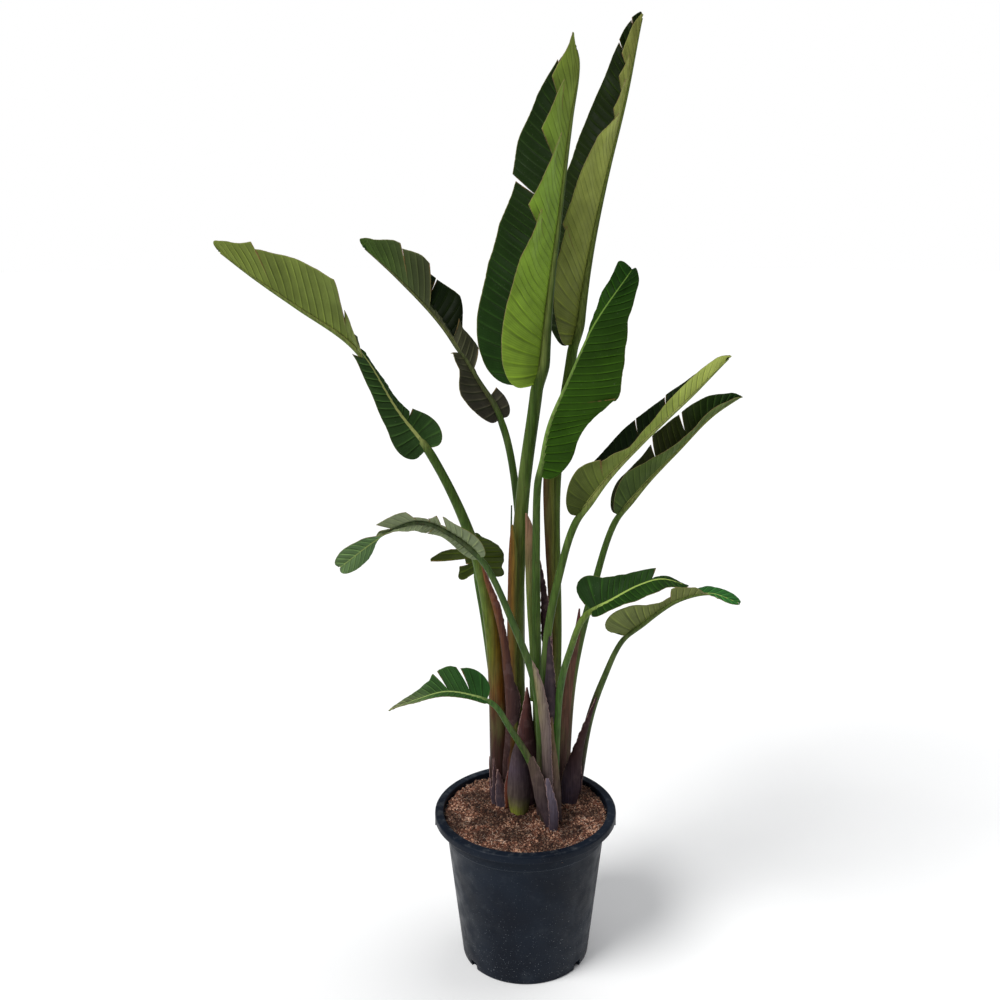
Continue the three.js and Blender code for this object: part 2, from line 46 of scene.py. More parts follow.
def hexColour(code):  # sRGB hex to linear red, green, blue, alpha
    parts = [int(code[i:i + 2], 16) / 255 for i in (0, 2, 4)]
    return [p / 12.92 if p <= 0.04045 else ((p + 0.055) / 1.055) ** 2.4 for p in parts] + [1.0]


def hexColours(codes):  # several colours from one spaced row of codes
    return np.array([hexColour(code) for code in codes.split()])


def addNode(tree, kind, inputs=None, **settings):  # a node with its settings, values and links
    node = tree.nodes.new(kind)
    for key, value in settings.items():
        setattr(node, key, value)
    for key, value in (inputs or {}).items():
        if isinstance(value, bpy.types.NodeSocket):
            tree.links.new(value, node.inputs[key])
        else:
            node.inputs[key].default_value = value
    return node


def smooth(low, high, x):
    t = np.clip((np.asarray(x, float) - low) / (high - low), 0, 1)
    return t * t * (3 - 2 * t)


def unit(vectors):
    return vectors / np.linalg.norm(vectors, axis=-1, keepdims=True)


def makeObject(name, mesh):
    piece = bpy.data.objects.new(name, mesh)
    bpy.context.scene.collection.objects.link(piece)
    return piece


def makeMesh(name, points, edges=(), faces=(), floats=None, colours=None, vectors=None):
    mesh = bpy.data.meshes.new(name)
    mesh.from_pydata(np.asarray(points).tolist(), [tuple(e) for e in edges], [tuple(f) for f in faces])
    for given, kind, field in ((floats, "FLOAT", "value"), (colours, "FLOAT_COLOR", "color"),
                               (vectors, "FLOAT_VECTOR", "vector")):
        for key, values in (given or {}).items():
            mesh.attributes.new(key, kind, "POINT").data.foreach_set(field, np.ravel(values))
    mesh.validate()
    mesh.update()
    return mesh


def bands(rows, wide, closed=False):  # the four-sided faces of a grid of points, row by row
    i = np.arange(rows - 1)[:, None] * wide
    j = np.arange(wide if closed else wide - 1)
    k = (j + 1) % wide
    return np.stack([(i + corner).ravel() for corner in (j, k, wide + k, wide + j)], 1)


def reshape(mesh, change):  # makes one change to a mesh
    whole = bmesh.new()
    whole.from_mesh(mesh)
    change(whole)
    whole.to_mesh(mesh)
    whole.free()
    return mesh


def triangleCount(piece):
    return sum(len(p.vertices) - 2 for p in piece.data.polygons)


def startTree(name, inputs):  # a Geometry Nodes tree, the identifiers of its named inputs, and their sockets
    tree = bpy.data.node_groups.new(name, "GeometryNodeTree")
    face = tree.interface
    face.new_socket("Geometry", in_out="INPUT", socket_type="NodeSocketGeometry")
    face.new_socket("Geometry", in_out="OUTPUT", socket_type="NodeSocketGeometry")
    keys = {label: face.new_socket(label, in_out="INPUT", socket_type="NodeSocket" + kind).identifier
            for label, kind in inputs.items()}
    return tree, keys, addNode(tree, "NodeGroupInput").outputs


def endTree(tree, keys, geometry):
    addNode(tree, "NodeGroupOutput", {0: geometry})
    return tree, keys


def geo(tree, kind, inputs=None, **settings):  # the first output of a Geometry Nodes node
    return addNode(tree, "GeometryNode" + kind, inputs, **settings).outputs[0]


def readNamed(tree, name, kind="FLOAT"):
    return geo(tree, "InputNamedAttribute", {"Name": name}, data_type=kind)


def alongNormal(tree, sheet, lift):  # moves each point of a sheet along its normal
    offset = addNode(tree, "ShaderNodeVectorMath", {0: geo(tree, "InputNormal"), "Scale": lift},
                     operation="SCALE").outputs[0]
    return geo(tree, "SetPosition", {"Geometry": sheet, "Offset": offset})


def grow(piece, treeAndKeys, values):  # runs a tree on a piece and keeps the result as a plain mesh
    tree, keys = treeAndKeys
    modifier = piece.modifiers.new(tree.name, "NODES")
    modifier.node_group = tree
    for label, value in values.items():
        modifier[keys[label]] = value
    keepResult(piece)
    piece.data.name = piece.name
    return piece


def keepResult(piece):
    graph = bpy.context.evaluated_depsgraph_get()
    graph.update()
    made = bpy.data.meshes.new_from_object(piece.evaluated_get(graph), depsgraph=graph)
    piece.modifiers.clear()
    piece.data = made


def finishPiece(piece, slot, *nodes):
    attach(piece, "root")
    if nodes:
        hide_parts(*nodes)


latticeSize = 4096
latticeStrides = (131, 977)  # they keep the rows of the plane's noise apart


def lattice(seed):
    return np.random.default_rng(seed).random(latticeSize)


def waveNoise(seed, x):  # smooth noise along one number, -1 to 1
    table = lattice(seed)
    x = np.asarray(x, float)
    i = np.floor(x).astype(int)
    f = smooth(0, 1, x - i)
    return 2 * (table[i % latticeSize] * (1 - f) + table[(i + 1) % latticeSize] * f) - 1


def twoWaves(seeds, coarse, fine, share):  # a broad and a fine noise, the broad one with its share
    return waveNoise(seeds[0], coarse) * share + waveNoise(seeds[1], fine) * (1 - share)


def fieldNoise(seed, x, y):  # smooth noise over a plane, -1 to 1
    table = lattice(seed)
    i, j = np.floor(x).astype(int), np.floor(y).astype(int)
    f, g = smooth(0, 1, x - i), smooth(0, 1, y - j)
    at = lambda p, q: table[(p * latticeStrides[0] + q * latticeStrides[1]) % latticeSize]
    low = at(i, j) * (1 - f) + at(i + 1, j) * f
    high = at(i, j + 1) * (1 - f) + at(i + 1, j + 1) * f
    return 2 * (low * (1 - g) + high * g) - 1


# materials. Scales are per metre, so 22 gives patches of about 45 mm

def mixColour(tree, share, under, over, blend="MIX"):
    return addNode(tree, "ShaderNodeMix", {0: share, 6: under, 7: over},
                   data_type="RGBA", blend_type=blend).outputs[2]


def maths(tree, operation, a, b=0.0):
    return addNode(tree, "ShaderNodeMath", {0: a, 1: b}, operation=operation).outputs[0]


def remap(tree, value, low, high, toLow=0.0, toHigh=1.0):
    return addNode(tree, "ShaderNodeMapRange",
                   {"Value": value, "From Min": low, "From Max": high, "To Min": toLow, "To Max": toHigh},
                   interpolation_type="SMOOTHSTEP").outputs["Result"]


class Paint:  # a material in the making, with the colour laid on so far
    def __init__(self, name, **sockets):
        self.material = bpy.data.materials.new(name)
        self.material.use_nodes = True
        self.tree = self.material.node_tree
        self.shader = self.tree.nodes["Principled BSDF"]
        self.place = addNode(self.tree, "ShaderNodeTexCoord").outputs["Object"]
        for key, value in sockets.items():
            self.shader.inputs[key.replace("_", " ")].default_value = value

    def read(self, name, output="Fac"):
        return addNode(self.tree, "ShaderNodeAttribute", attribute_name=name).outputs[output]

    def remap(self, *given):
        return remap(self.tree, *given)

    def times(self, a, b):
        return maths(self.tree, "MULTIPLY", a, b)

    def noise(self, scale, detail=3.0, rough=0.5, squeeze=None):
        place = self.place
        if squeeze:
            place = addNode(self.tree, "ShaderNodeMapping", {"Vector": place, "Scale": squeeze}).outputs[0]
        return addNode(self.tree, "ShaderNodeTexNoise", {
            "Vector": place, "Scale": scale, "Detail": detail, "Roughness": rough}).outputs["Fac"]

    def spots(self, scale, detail, *levels, rough=0.5):
        # noise cut between its first two levels, which become 0 and 1 or the next two
        return self.remap(self.noise(scale, detail, rough), *levels)

    def lay(self, share, colour, blend="MIX"):  # lays a colour over what is there
        over = hexColour(colour) if isinstance(colour, str) else colour
        self.colour = mixColour(self.tree, share, self.colour, over, blend)

    def shade(self, grey):  # lightens and darkens what is there
        self.lay(1.0, addNode(self.tree, "ShaderNodeCombineColor", {0: grey, 1: grey, 2: grey}).outputs[0],
                 "MULTIPLY")

    def layTorn(self):  # pale threads where a skin is torn
        self.lay(self.times(self.read("tornShare"), self.spots(300.0, 2.0, 0.3, 0.55)), "ac8a82")

    def finish(self, height=None, depth=0.0, strength=0.0, roughness=None):
        self.tree.links.new(self.colour, self.shader.inputs["Base Color"])
        if roughness is not None:
            self.tree.links.new(roughness, self.shader.inputs["Roughness"])
        if height is not None:
            bump = addNode(self.tree, "ShaderNodeBump", {
                "Height": height, "Distance": depth, "Strength": strength})
            self.tree.links.new(bump.outputs[0], self.shader.inputs["Normal"])
        return self.material


def bladeSkin(name, tint, look):
    # the waxy skin of a leaf: it gives the eye pale veins side by side with painted shade in the groove
    # beside each, fine ribbing between them, soft blotches and a thin dry margin
    paint = Paint(name, IOR=1.45, Specular_IOR_Level=look["specular"])
    tree = paint.tree
    count, across = paint.read("veinCount"), paint.read("acrossShare")
    paint.colour = paint.read(tint, "Color")
    paint.shade(paint.spots(22.0, 4.0, 0.3, 0.7, 0.80, 1.14))
    beside = maths(tree, "FRACT", maths(tree, "ADD", count, 0.5))  # 0.5 at a vein
    paintedGrooveShade = paint.times(paint.remap(beside, 0.22, 0.47), paint.remap(beside, 0.50, 0.57, 1.0, 0.0))
    line = paint.times(paint.remap(beside, 0.50, 0.55), paint.remap(beside, 0.56, 0.80, 1.0, 0.0))
    seen = paint.times(paint.spots(14.0, 2.0, 0.35, 0.65, 0.5, 1.0), paint.remap(across, 0.7, 1.0, 1.0, 0.4))
    gain = look["lineGain"]
    bright = mixColour(tree, 1.0, paint.colour, (gain, gain, gain * 0.8, 1.0), "MULTIPLY")
    paint.lay(paint.times(paint.times(line, seen), look["lineShare"]), bright)
    # painted shade: a dark band laid in the groove on one side of each vein
    paint.lay(paint.times(paint.times(paintedGrooveShade, seen), look["grooveShadeShare"]), "1a260c")
    fine = maths(tree, "SINE", paint.times(count, 2 * math.pi * 6))  # 6 fine ribs to a vein
    paint.lay(paint.remap(fine, -1.0, 1.0, 0.0, 0.16), "0c1a08")
    paint.lay(paint.spots(420.0, 1.0, 0.70, 0.78, 0.0, look["dustShare"]), "b9bda8")
    paint.lay(paint.remap(across, 0.984, 0.996, 0.0, 0.55), "98955c")  # the outermost 1 to 2 mm
    paint.lay(paint.remap(paint.read("fromRib"), 0.0022, 0.0034, 0.92, 0.0), paint.read("ribTint", "Color"))
    paint.lay(paint.times(paint.read("dryShare"), paint.spots(160.0, 3.0, 0.35, 0.6)), "7a5a35")
    relief = maths(tree, "ADD", paint.times(fine, 0.5), paint.noise(260.0, 2.0))
    rough = paint.spots(60.0, 3.0, 0.3, 0.7, look["gloss"] - 0.06, look["gloss"] + 0.08)
    return paint.finish(relief, 0.0002, 0.5, rough)


def stalkSkin():
    # waxy leaf stalk: long fibres show as streaks, with small brown flecks
    paint = Paint("waxyStalkSkin", IOR=1.45, Specular_IOR_Level=0.14)
    paint.colour = paint.read("tint", "Color")
    streak = paint.noise(420.0, squeeze=(1.0, 1.0, 0.06))  # streaks 2.4 mm wide
    paint.lay(paint.remap(streak, 0.35, 0.65, 0.0, 0.42), "181a0c")
    wide = paint.noise(90.0, 2.0, squeeze=(1.0, 1.0, 0.16))
    paint.lay(paint.remap(wide, 0.45, 0.75, 0.0, 0.16), "8a9a56")
    paint.lay(paint.spots(380.0, 1.0, 0.70, 0.76, 0.0, 0.7), "4a2f1a")
    paint.layTorn()
    return paint.finish(streak, 0.0004, 0.5, paint.remap(streak, 0.3, 0.7, 0.36, 0.5))


def drySheath():
    # dried leaf sheath: papery, streaked along its fibres, pale where it is torn
    paint = Paint("driedPaperySheath", Roughness=0.72, Specular_IOR_Level=0.2)
    paint.colour = paint.read("tint", "Color")
    streak = paint.noise(520.0, 4.0, 0.6, (1.0, 1.0, 0.05))
    paint.lay(paint.remap(streak, 0.35, 0.7, 0.0, 0.55), "241418")
    paint.lay(paint.spots(70.0, 3.0, 0.5, 0.7, 0.0, 0.2), "75605f")
    paint.layTorn()
    return paint.finish(streak, 0.0006, 0.7)


def marginSkin():
    # the cut edge of a leaf: olive, with brown dried stretches
    paint = Paint("dryLeafMargin", Roughness=0.6)
    paint.colour = hexColour("7d7a3e")
    paint.lay(paint.spots(120.0, 3.0, 0.4, 0.65), "6b4a2a")
    return paint.finish()


def potPlastic():
    # injection-moulded polypropylene, dyed near black: satin, with dust, fine rubbing, and painted highlights
    # on the lip and the collar's edge
    paint = Paint("mouldedPolypropylene", IOR=1.49, Specular_IOR_Level=0.10)
    paint.colour = hexColour("0b121d")
    paint.lay(paint.spots(9.0, 4.0, 0.35, 0.65), "131c28")
    height = addNode(paint.tree, "ShaderNodeSeparateXYZ", {"Vector": paint.place}).outputs["Z"]
    specks = paint.spots(520.0, 1.0, 0.71, 0.76)  # grit about 1 mm across, most of it low down
    paint.lay(paint.times(specks, paint.remap(height, 0.0, 0.16, 1.0, 0.25)), "8c9196")
    paint.lay(paint.spots(30.0, 5.0, 0.54, 0.74, 0.0, 0.10, rough=0.65), "5d646a")
    lip = paint.remap(height, 0.2615, 0.2642)  # the lip's rounded edge: rubbed patches and a painted highlight
    paint.lay(paint.times(lip, paint.spots(85.0, 4.0, 0.5, 0.7, 0.0, 0.10)), "878b8c")
    collar = paint.times(paint.remap(height, 0.2262, 0.2268), paint.remap(height, 0.2272, 0.2286, 0.3, 0.0))
    paint.lay(collar, "59636c")  # the edge of the collar: wear and a painted highlight
    relief = maths(paint.tree, "ADD", paint.noise(300.0, 2.0, squeeze=(0.15, 0.15, 1.0)),
                   paint.times(specks, 0.6))
    return paint.finish(relief, 0.0004, 0.35, paint.spots(45.0, 4.0, 0.3, 0.7, 0.34, 0.52))


def soilMix(name, darkPeatAndPitShadeHex, midHex, paleHex, strewn=False):
    # coir and peat: loose, matt, reddish brown with pale fibre, dark peat and painted shade in the pits
    paint = Paint(name, Roughness=0.92, Specular_IOR_Level=0.25)
    paint.colour = hexColour(darkPeatAndPitShadeHex)
    grain = paint.noise(260.0, 4.0, 0.6)  # crumbs about 4 mm wide
    # the grain's low points are the bump's hollows too; they keep the darkest colour as painted shade
    paint.lay(paint.remap(grain, 0.35, 0.6), midHex)
    paint.lay(paint.spots(700.0, 2.0, 0.58, 0.7, 0.0, 0.7), paleHex)
    if strewn:  # each crumb or fibre has its own tone
        paint.lay(paint.remap(paint.read("tone"), 0.0, 1.0, 0.0, 0.9), paleHex)
    paint.shade(paint.spots(24.0, 3.0, 0.40, 0.60, 1.22, 0.42))  # damp patches
    return paint.finish(grain, 0.001, 0.8)


skins = {
    "upper": bladeSkin("waxyUpperLeafSkin", "upperTint", {
        "gloss": 0.46, "lineGain": 3.0, "lineShare": 0.75, "grooveShadeShare": 0.6, "dustShare": 0.06,
        "specular": 0.055}),
    "under": bladeSkin("mattLowerLeafSkin", "underTint", {
        "gloss": 0.56, "lineGain": 1.7, "lineShare": 0.8, "grooveShadeShare": 0.5, "dustShare": 0.05,
        "specular": 0.10}),
    "margin": marginSkin(),
    "stalk": stalkSkin(),
    "sheath": drySheath(),
    "pot": potPlastic(),
    "soil": soilMix("coirAndPeat", "120805", "5c382a", "a87c64"),
    "crumb": soilMix("coirCrumb", "20100c", "784a38", "c89c80", True),
    "fibre": soilMix("coirFibre", "6a4436", "b08a74", "ecd2bc", True),
}
print("materials made:", len(skins))


# leaves: each follows one line, the stalk's points and then the rib's, in millimetres, with its radius at
# the soil, at the blade and at the tip. A blade has two halves, a and b. Along a half, w is its width and
# psi the way it faces, in degrees round the rib: 0 to its right, 90 to the front. lean is how far its veins
# lean to the tip. A lobe has its end along the half, its turn at both ends and its share of the width at
# both. The halves part at the share slit of their width. veins is the distance between two veins.

leaves = [
    {"stalk": [[40, 38, 230], [49, 58, 545], [49, 78, 815], [75, 95, 1020]],
     "rib": [[98, 120, 1161], [126, 145, 1287], [155, 165, 1402], [184, 190, 1537]],
     "r": [15, 8.5, 2], "slit": 0.25,
     "a": {"w": [60, 100, 105, 98, 80, 54, 48, 38, 26],
           "psi": [120, 118, 118, 120, 122, 106, 112, 130, 140], "curl": 10, "lean": 32,
           "lobes": [[0.2, 0, 0], [0.62, 10, -22, 1, 0.95], [0.72, 4, -24], [0.8, 16, -24], [1, 40, 0]]},
     "b": {"w": [60, 100, 112, 105, 86, 72, 53, 45, 36],
           "psi": [235, 232, 230, 225, 222, 218, 204, 198, 196], "lean": 20,
           "lobes": [[0.86, 0, 0], [0.93, 20, 0], [1, 30, 0]]},
     # leaf 1's underside is darker towards its foot: painted shade
     "upper": "1a250a 1b270a 192409", "under": "5c6626 98a24e 868a46",
     "skin": [[0, "4a3a44", "3f3030"], [0.12, "4f3430", "46581f"], [0.3, "5b4422", "566c20"],
              [0.5, "5c5222", "566e20"], [1, "4f6a22", "48641f"]],
     "ribHex": "8c9a50 4a5a20", "veins": 13.2, "thinning": 3},
    {"stalk": [[-6, 30, 230], [-16, 42, 547], [-5, 35, 790], [17, 20, 967]],
     "rib": [[32, 10, 1108], [48, 0, 1232], [64, -5, 1365], [74, -8, 1422], [75, -11, 1444], [71, -14, 1461]],
     "r": [17, 10, 2.5], "slit": 0.3,
     "a": {"w": [88, 104, 108, 108, 105, 98, 92, 76, 40],
           "psi": [145, 135, 128, 120, 112, 112, 114, 117, 122], "curl": 8, "lean": 34,
           "tipRound": 0.11, "footRound": 0.2,
           "lobes": [[0.40, 0, -28], [0.63, 4, -36], [0.745, 14, -26], [1, 14, 4]]},
     "b": {"w": [124, 130, 130, 123, 108, 99, 76, 60, 30], "footRound": 0.12,
           "psi": [212, 215, 218, 220, 222, 220, 215, 212, 205], "curl": 5, "lean": 14,
           "lobes": [[0.54, 0, 5, 1, 0.88], [0.87, -8, 0, 1.06, 1], [0.94, 10, 0, 0.9, 0.8],
                     [1, 25, 0, 1, 0.5]]},
     "upper": "1c3410 1c2e0e 16240a", "under": "85a436 7c9c34 788638",
     "skin": [[0, "3a2226", "4a3a2a"], [0.15, "4a2c22", "4f5a22"], [0.3, "5a3418", "566c20"],
              [0.5, "5f3c18", "587021"], [0.8, "4c6222", "4a6622"], [1, "46631f", "435e20"]],
     "ribHex": "8c9a50 38501a", "veins": 13.2, "thinning": 3},
    {"stalk": [[25, 14, 230], [18, 8, 563], [17, -5, 735], [19, -20, 830]],
     "rib": [[32, -50, 923], [62, -75, 1000], [97, -100, 1080], [148, -118, 1158]],
     "r": [10, 6, 2], "slit": 0.35,
     "a": {"w": [38, 54, 74, 91, 78, 65, 49, 38, 24], "gap": -4,
           "psi": [10, 5, 0, 0, 0, -5, -8, -12, -30], "curl": -6, "lean": 22,
           "lobes": [[0.36, 0, 10, 1, 0.97], [1, -2, 0]]},
     "b": {"w": [35, 50, 60, 66, 57, 42, 25, 21, 26], "tipRound": 0.04, "tipLean": 15,
           "psi": [295, 295, 295, 295, 292, 282, 252, 212, 190], "lean": 20},
     "upper": "2e4e0e 2a470c 16320a", "under": "6f8a3c 6f8a3c 6f8a3c",
     "skin": [[0, "4b3438", "4f3c3a"], [0.2, "4a4a24", "506628"], [0.4, "3f5a20", "4a6626"],
              [1, "405c20", "4c6a26"]],
     "ribHex": "6c8a3c 6a8040", "veins": 12.6, "thinning": 3},
    {"stalk": [[-40, 52, 230], [-56, 50, 563], [-87, 30, 725], [-146, 0, 870]],
     "rib": [[-195, -15, 944], [-250, -35, 1040], [-333, -50, 1103], [-401, -60, 1152], [-437, -70, 1182]],
     "r": [20, 7.2, 2], "slit": 0.2,
     "a": {"w": [50, 46, 44, 32, 36, 50, 46, 36, 20],
           "psi": [-10, -60, -78, -78, -80, -78, -75, -75, -75], "lean": 20,
           "lobes": [[0.13, 40, 10, 1, 0.62], [0.42, 0, 0, 0.45, 0.3], [1, 0, 0]]},
     "b": {"w": [50, 34, 30, 34, 99, 86, 70, 49, 25], "tipRound": 0.05,
           "psi": [165, 155, 140, 110, 36, 22, 22, 22, 25], "lean": 32,
           "lobes": [[0.4, 0, 0], [0.49, 50, 10, 0.6, 0.62], [0.79, 0, 0, 1.05, 1], [1, 0, 0, 1.15, 1]]},
     "upper": "2c4420 324a24 3c552a", "under": "8a9060 6c7a38 77853c",
     "skin": [[0, "3e2c30", "33262a"], [0.12, "462c2a", "3c2422"], [0.26, "4a2a1c", "4a2a1c"],
              [0.35, "6a4a1c", "7a4a1a"], [0.45, "667020", "8a641e"], [0.6, "587220", "76641e"],
              [0.8, "44621f", "48621f"], [1, "45631f", "45631f"]],
     "ribHex": "a3a862 6a7a38", "veins": 13.0, "thinning": 2.2},
    {"stalk": [[-10, 66, 230], [-8, 68, 611], [-11, 68, 749], [-36, 70, 903]],
     "rib": [[-78, 90, 975], [-131, 115, 1057], [-200, 135, 1130], [-262, 150, 1183]],
     "r": [8, 6, 2], "slit": 0.15,
     "a": {"w": [38, 56, 30, 17, 56, 46, 40, 32, 18],
           "psi": [128, 126, 124, 122, 126, 335, 345, 348, 348, 345, 340, 335, 335], "lean": 14,
           "lobes": [[0.36, 0, -10], [0.42, 0, 0, 0.2, 0.2], [0.62, 0, 0], [1, 0, 0]]},
     "b": {"w": [34, 30, 50, 37, 60, 78, 66, 46, 21], "tipRound": 0.05,
           "psi": [330, 315, 320, 345, 372, 378, 382, 388, 392], "lean": 36,
           "lobes": [[0.11, 0, 0, 1, 0.9], [0.24, 0, 0, 0.15, 0.15], [0.41, 0, 0, 0.95, 0.85],
                     [0.58, 0, 0, 0.1, 0.1], [0.71, 0, 0, 1, 0.95], [1, 0, 0, 1.05, 1]]},
     # leaf 5's underside is greyed towards its foot: a painted sheen over its own green
     "upper": "10170a 12190a 1a3412", "under": "3a362e 484a34 405a20",
     "skin": [[0, "46342c", "46342c"], [0.3, "46582a", "46582a"], [1, "3c5820", "46641f"]],
     "ribHex": "6a6f42 454c2c", "veins": 12.2, "thinning": 4},
    {"stalk": [[48, 16, 230], [33, -12, 549], [57, -12, 694], [78, -20, 767]],
     "rib": [[116, -30, 831], [176, -40, 900], [248, -50, 974], [300, -60, 1030]],
     "r": [9, 6, 1.8], "slit": 0.2,
     "a": {"w": [34, 62, 47, 23, 20, 28, 36, 34, 17],
           "psi": [154, 152, 140, 130, 150, 158, 154, 156, 150], "lean": 30,
           "lobes": [[0.22, 0, -10], [1, 0, 0, 0.8, 1]]},
     "b": {"w": [32, 38, 38, 40, 36, 33, 31, 26, 11],
           "psi": [220, 214, 208, 205, 206, 212, 222, 235, 240], "lean": 25,
           "lobes": [[0.46, 0, 0], [0.62, 0, 0, 1, 0.95], [1, 0, 0]]},
     "upper": "141f0e 16220f 1a2a12", "under": "3e481c 8a9a48 b0bc60",
     "skin": [[0, "4b3a40", "4a3a30"], [0.25, "46602a", "4a6626"], [1, "4e6a26", "4e6a26"]],
     "ribHex": "a3aa60 74843c", "veins": 11.6, "thinning": 3},
    {"stalk": [[63, 52, 230], [79, 62, 468], [113, 72, 626], [148, 80, 741]],
     "rib": [[189, 95, 794], [254, 110, 859], [306, 120, 911], [356, 130, 942]],
     "r": [11, 5.4, 1.8], "slit": 0.2,
     "a": {"w": [22, 48, 40, 36, 28, 24, 32, 24, 10],
           "psi": [150, 150, 140, 125, 118, 115, 115, 115, 118], "curl": 10, "lean": 30},
     "b": {"w": [28, 44, 46, 53, 50, 45, 40, 28, 14], "gap": 3,
           "psi": [220, 216, 210, 204, 200, 198, 196, 195, 195], "lean": 24,
           "lobes": [[0.36, 5, 0, 1, 0.85], [0.61, -4, 0, 1.05, 1], [1, -7, 0]]},
     "upper": "22260e 24290f 1a3410", "under": "46592a 56682f 66763e",
     "skin": [[0, "54444a", "4a3a3c"], [0.22, "7c5e56", "74584e"], [0.38, "84665a", "74704a"],
              [0.5, "7a6a4c", "62783a"],
              [0.7, "50702e", "50702e"], [1, "56742e", "56742e"]],
     "ribHex": "98a058 6a7838", "veins": 11.2, "thinning": 3},
    {"stalk": [[28, -10, 230], [17, -30, 491], [-21, -45, 613], [-64, -60, 714]],
     "rib": [[-106, -80, 762], [-157, -100, 790], [-207, -120, 776], [-271, -140, 733]],
     "r": [9, 5, 1.5], "slit": 0.15,
     "a": {"w": [14, 16, 14, 21, 15, 9, 22, 28, 28], "tipRound": 0.2, "tipLean": 45,
           "psi": [160, 155, 150, 150, 140, 90, 30, 10, 0], "lean": 30,
           "lobes": [[0.34, 0, 0], [1, 0, 0]]},
     "b": {"w": [24, 38, 42, 24, 33, 32, 29, 28, 28], "tipRound": 0.2, "tipLean": 45,
           "psi": [400, 400, 395, 390, 385, 375, 200, 170, 160], "lean": 42,
           "lobes": [[0.26, 0, 0, 1, 0.95], [0.31, 0, 0, 0.3, 0.3], [0.39, 0, 0, 0.9, 0.6],
                     [0.46, 0, 0, 0.5, 0.5], [0.61, 0, 0], [0.68, 0, 0, 0.3, 0.5], [1, 0, 0]]},
     "upper": "4a6a42 4a6a42 5c744a", "under": "7e8a68 86916e 74824a",
     "skin": [[0, "4b3a40", "4b3a40"], [0.2, "54443c", "5a4a3c"], [0.36, "446224", "4a6230"],
              [1, "486430", "44622c"]],
     "ribHex": "8fa05a 3a472a", "veins": 9.6},
    {"stalk": [[-30, 84, 230], [-50, 88, 400], [-70, 90, 560], [-82, 90, 640]],
     "rib": [[-86, 125, 664], [-88, 158, 680], [-88, 190, 690]],
     "r": [8, 5, 1.5], "slit": 0.12,
     "a": {"w": [60, 47, 53, 53, 49, 45, 34, 15, 10],
           "psi": [-25, -25, -25, -22, -20, -20, -20, -20, -20], "lean": 5},
     "b": {"w": [50, 55, 70, 84, 78, 46, 30, 20, 12],
           "psi": [208, 206, 202, 194, 188, 186, 190, 196, 196], "lean": 10,
           "lobes": [[0.18, 0, 0, 0.85, 0.5], [0.32, 0, 0, 0.3, 0.25], [0.6, 0, 0, 1.1, 0.7],
              [1, 0, 0, 0.5, 1]]},
     "upper": "2e380e 2e380e 2e380e", "under": "34421a 34421a 34421a",
     "skin": [[0, "4a5a2a", "4a5a2a"], [1, "4a6a2c", "4a6a2c"]],
     "ribHex": "7d8c4a 4a5a30", "veins": 10.6},
    {"stalk": [[46, -4, 230], [56, -20, 486], [71, -40, 563], [93, -60, 628]],
     "rib": [[133, -75, 660], [174, -90, 689], [205, -105, 703], [240, -125, 700]],
     "r": [8.5, 5, 1.5], "slit": 0.15,
     "a": {"w": [20, 26, 35, 45, 45, 37, 26, 18, 12],
           "psi": [70, 78, 80, 80, 80, 75, 70, 70, 70], "lean": 24},
     "b": {"w": [70, 42, 36, 29, 24, 22, 20, 18, 10],
           "psi": [212, 220, 226, 228, 228, 230, 236, 262, 275], "lean": 22,
           "lobes": [[0.66, 0, 0, 1, 1.05], [1, -30, 0, 0.3, 0.7]]},
     "upper": "1d3413 223d15 1d3011", "under": "5f7038 5f7038 5f7038",
     "skin": [[0, "5a464a", "4f3e42"], [0.16, "66603e", "5a5038"], [0.3, "4c7c24", "466a28"],
              [0.7, "42642a", "4c6e34"], [1, "6a8232", "6a8232"]],
     "ribHex": "9db35a 7d9040", "veins": 10.2},
    {"stalk": [[84, 68, 230], [108, 45, 402], [130, 20, 490], [157, 0, 563]],
     "rib": [[190, -10, 600], [243, -25, 643], [290, -40, 658], [330, -60, 650]],
     "r": [10, 4.5, 1.5], "slit": 0.15,
     "a": {"w": [74, 57, 40, 24, 32, 30, 22, 20, 16],
           "psi": [155, 155, 152, 150, 150, 140, 90, 60, 60], "lean": 24,
           "lobes": [[0.46, 0, -5, 1, 0.6], [0.7, 10, 0, 1.05, 0.7], [1, 0, 0, 0.7, 1]]},
     "b": {"w": [35, 45, 45, 40, 35, 26, 17, 18, 16],
           "psi": [290, 290, 290, 290, 285, 270, 240, 220, 215], "lean": 24},
     "upper": "22471f 285526 2c5c2a", "under": "66703e 6e7642 66703c",
     "skin": [[0, "34242c", "443640"], [0.2, "3a262a", "44383a"], [0.38, "3e2a28", "4e5a32"],
              [0.6, "46402c", "4e6830"],
              [0.75, "44582a", "4a642c"], [1, "485e28", "485e28"]],
     "ribHex": "8fa456 56682f", "veins": 10.2},
    {"stalk": [[38, -28, 230], [12, -45, 360], [-25, -65, 441], [-51, -80, 489]],
     "rib": [[-86, -100, 513], [-123, -115, 525], [-163, -130, 520], [-204, -145, 510]],
     "r": [8.5, 4.5, 1.5], "slit": 0.1,
     "a": {"w": [40, 49, 47, 39, 26, 19, 14, 10, 8], "gap": 4,
           "psi": [-50, -50, -48, -46, -46, -50, -55, -60, -60], "lean": 30,
           "lobes": [[0.2, 0, 0, 0.95, 1], [0.44, 0, 10, 1, 1.1], [1, 0, 0]]},
     "b": {"w": [12, 20, 30, 30, 36, 36, 28, 14, 8],
           "psi": [90, 82, 80, 80, 78, 75, 75, 75, 75], "lean": 26},
     "upper": "2c5426 3a5a2e 727657", "under": "5f7a44 5f7a44 6a7a50",
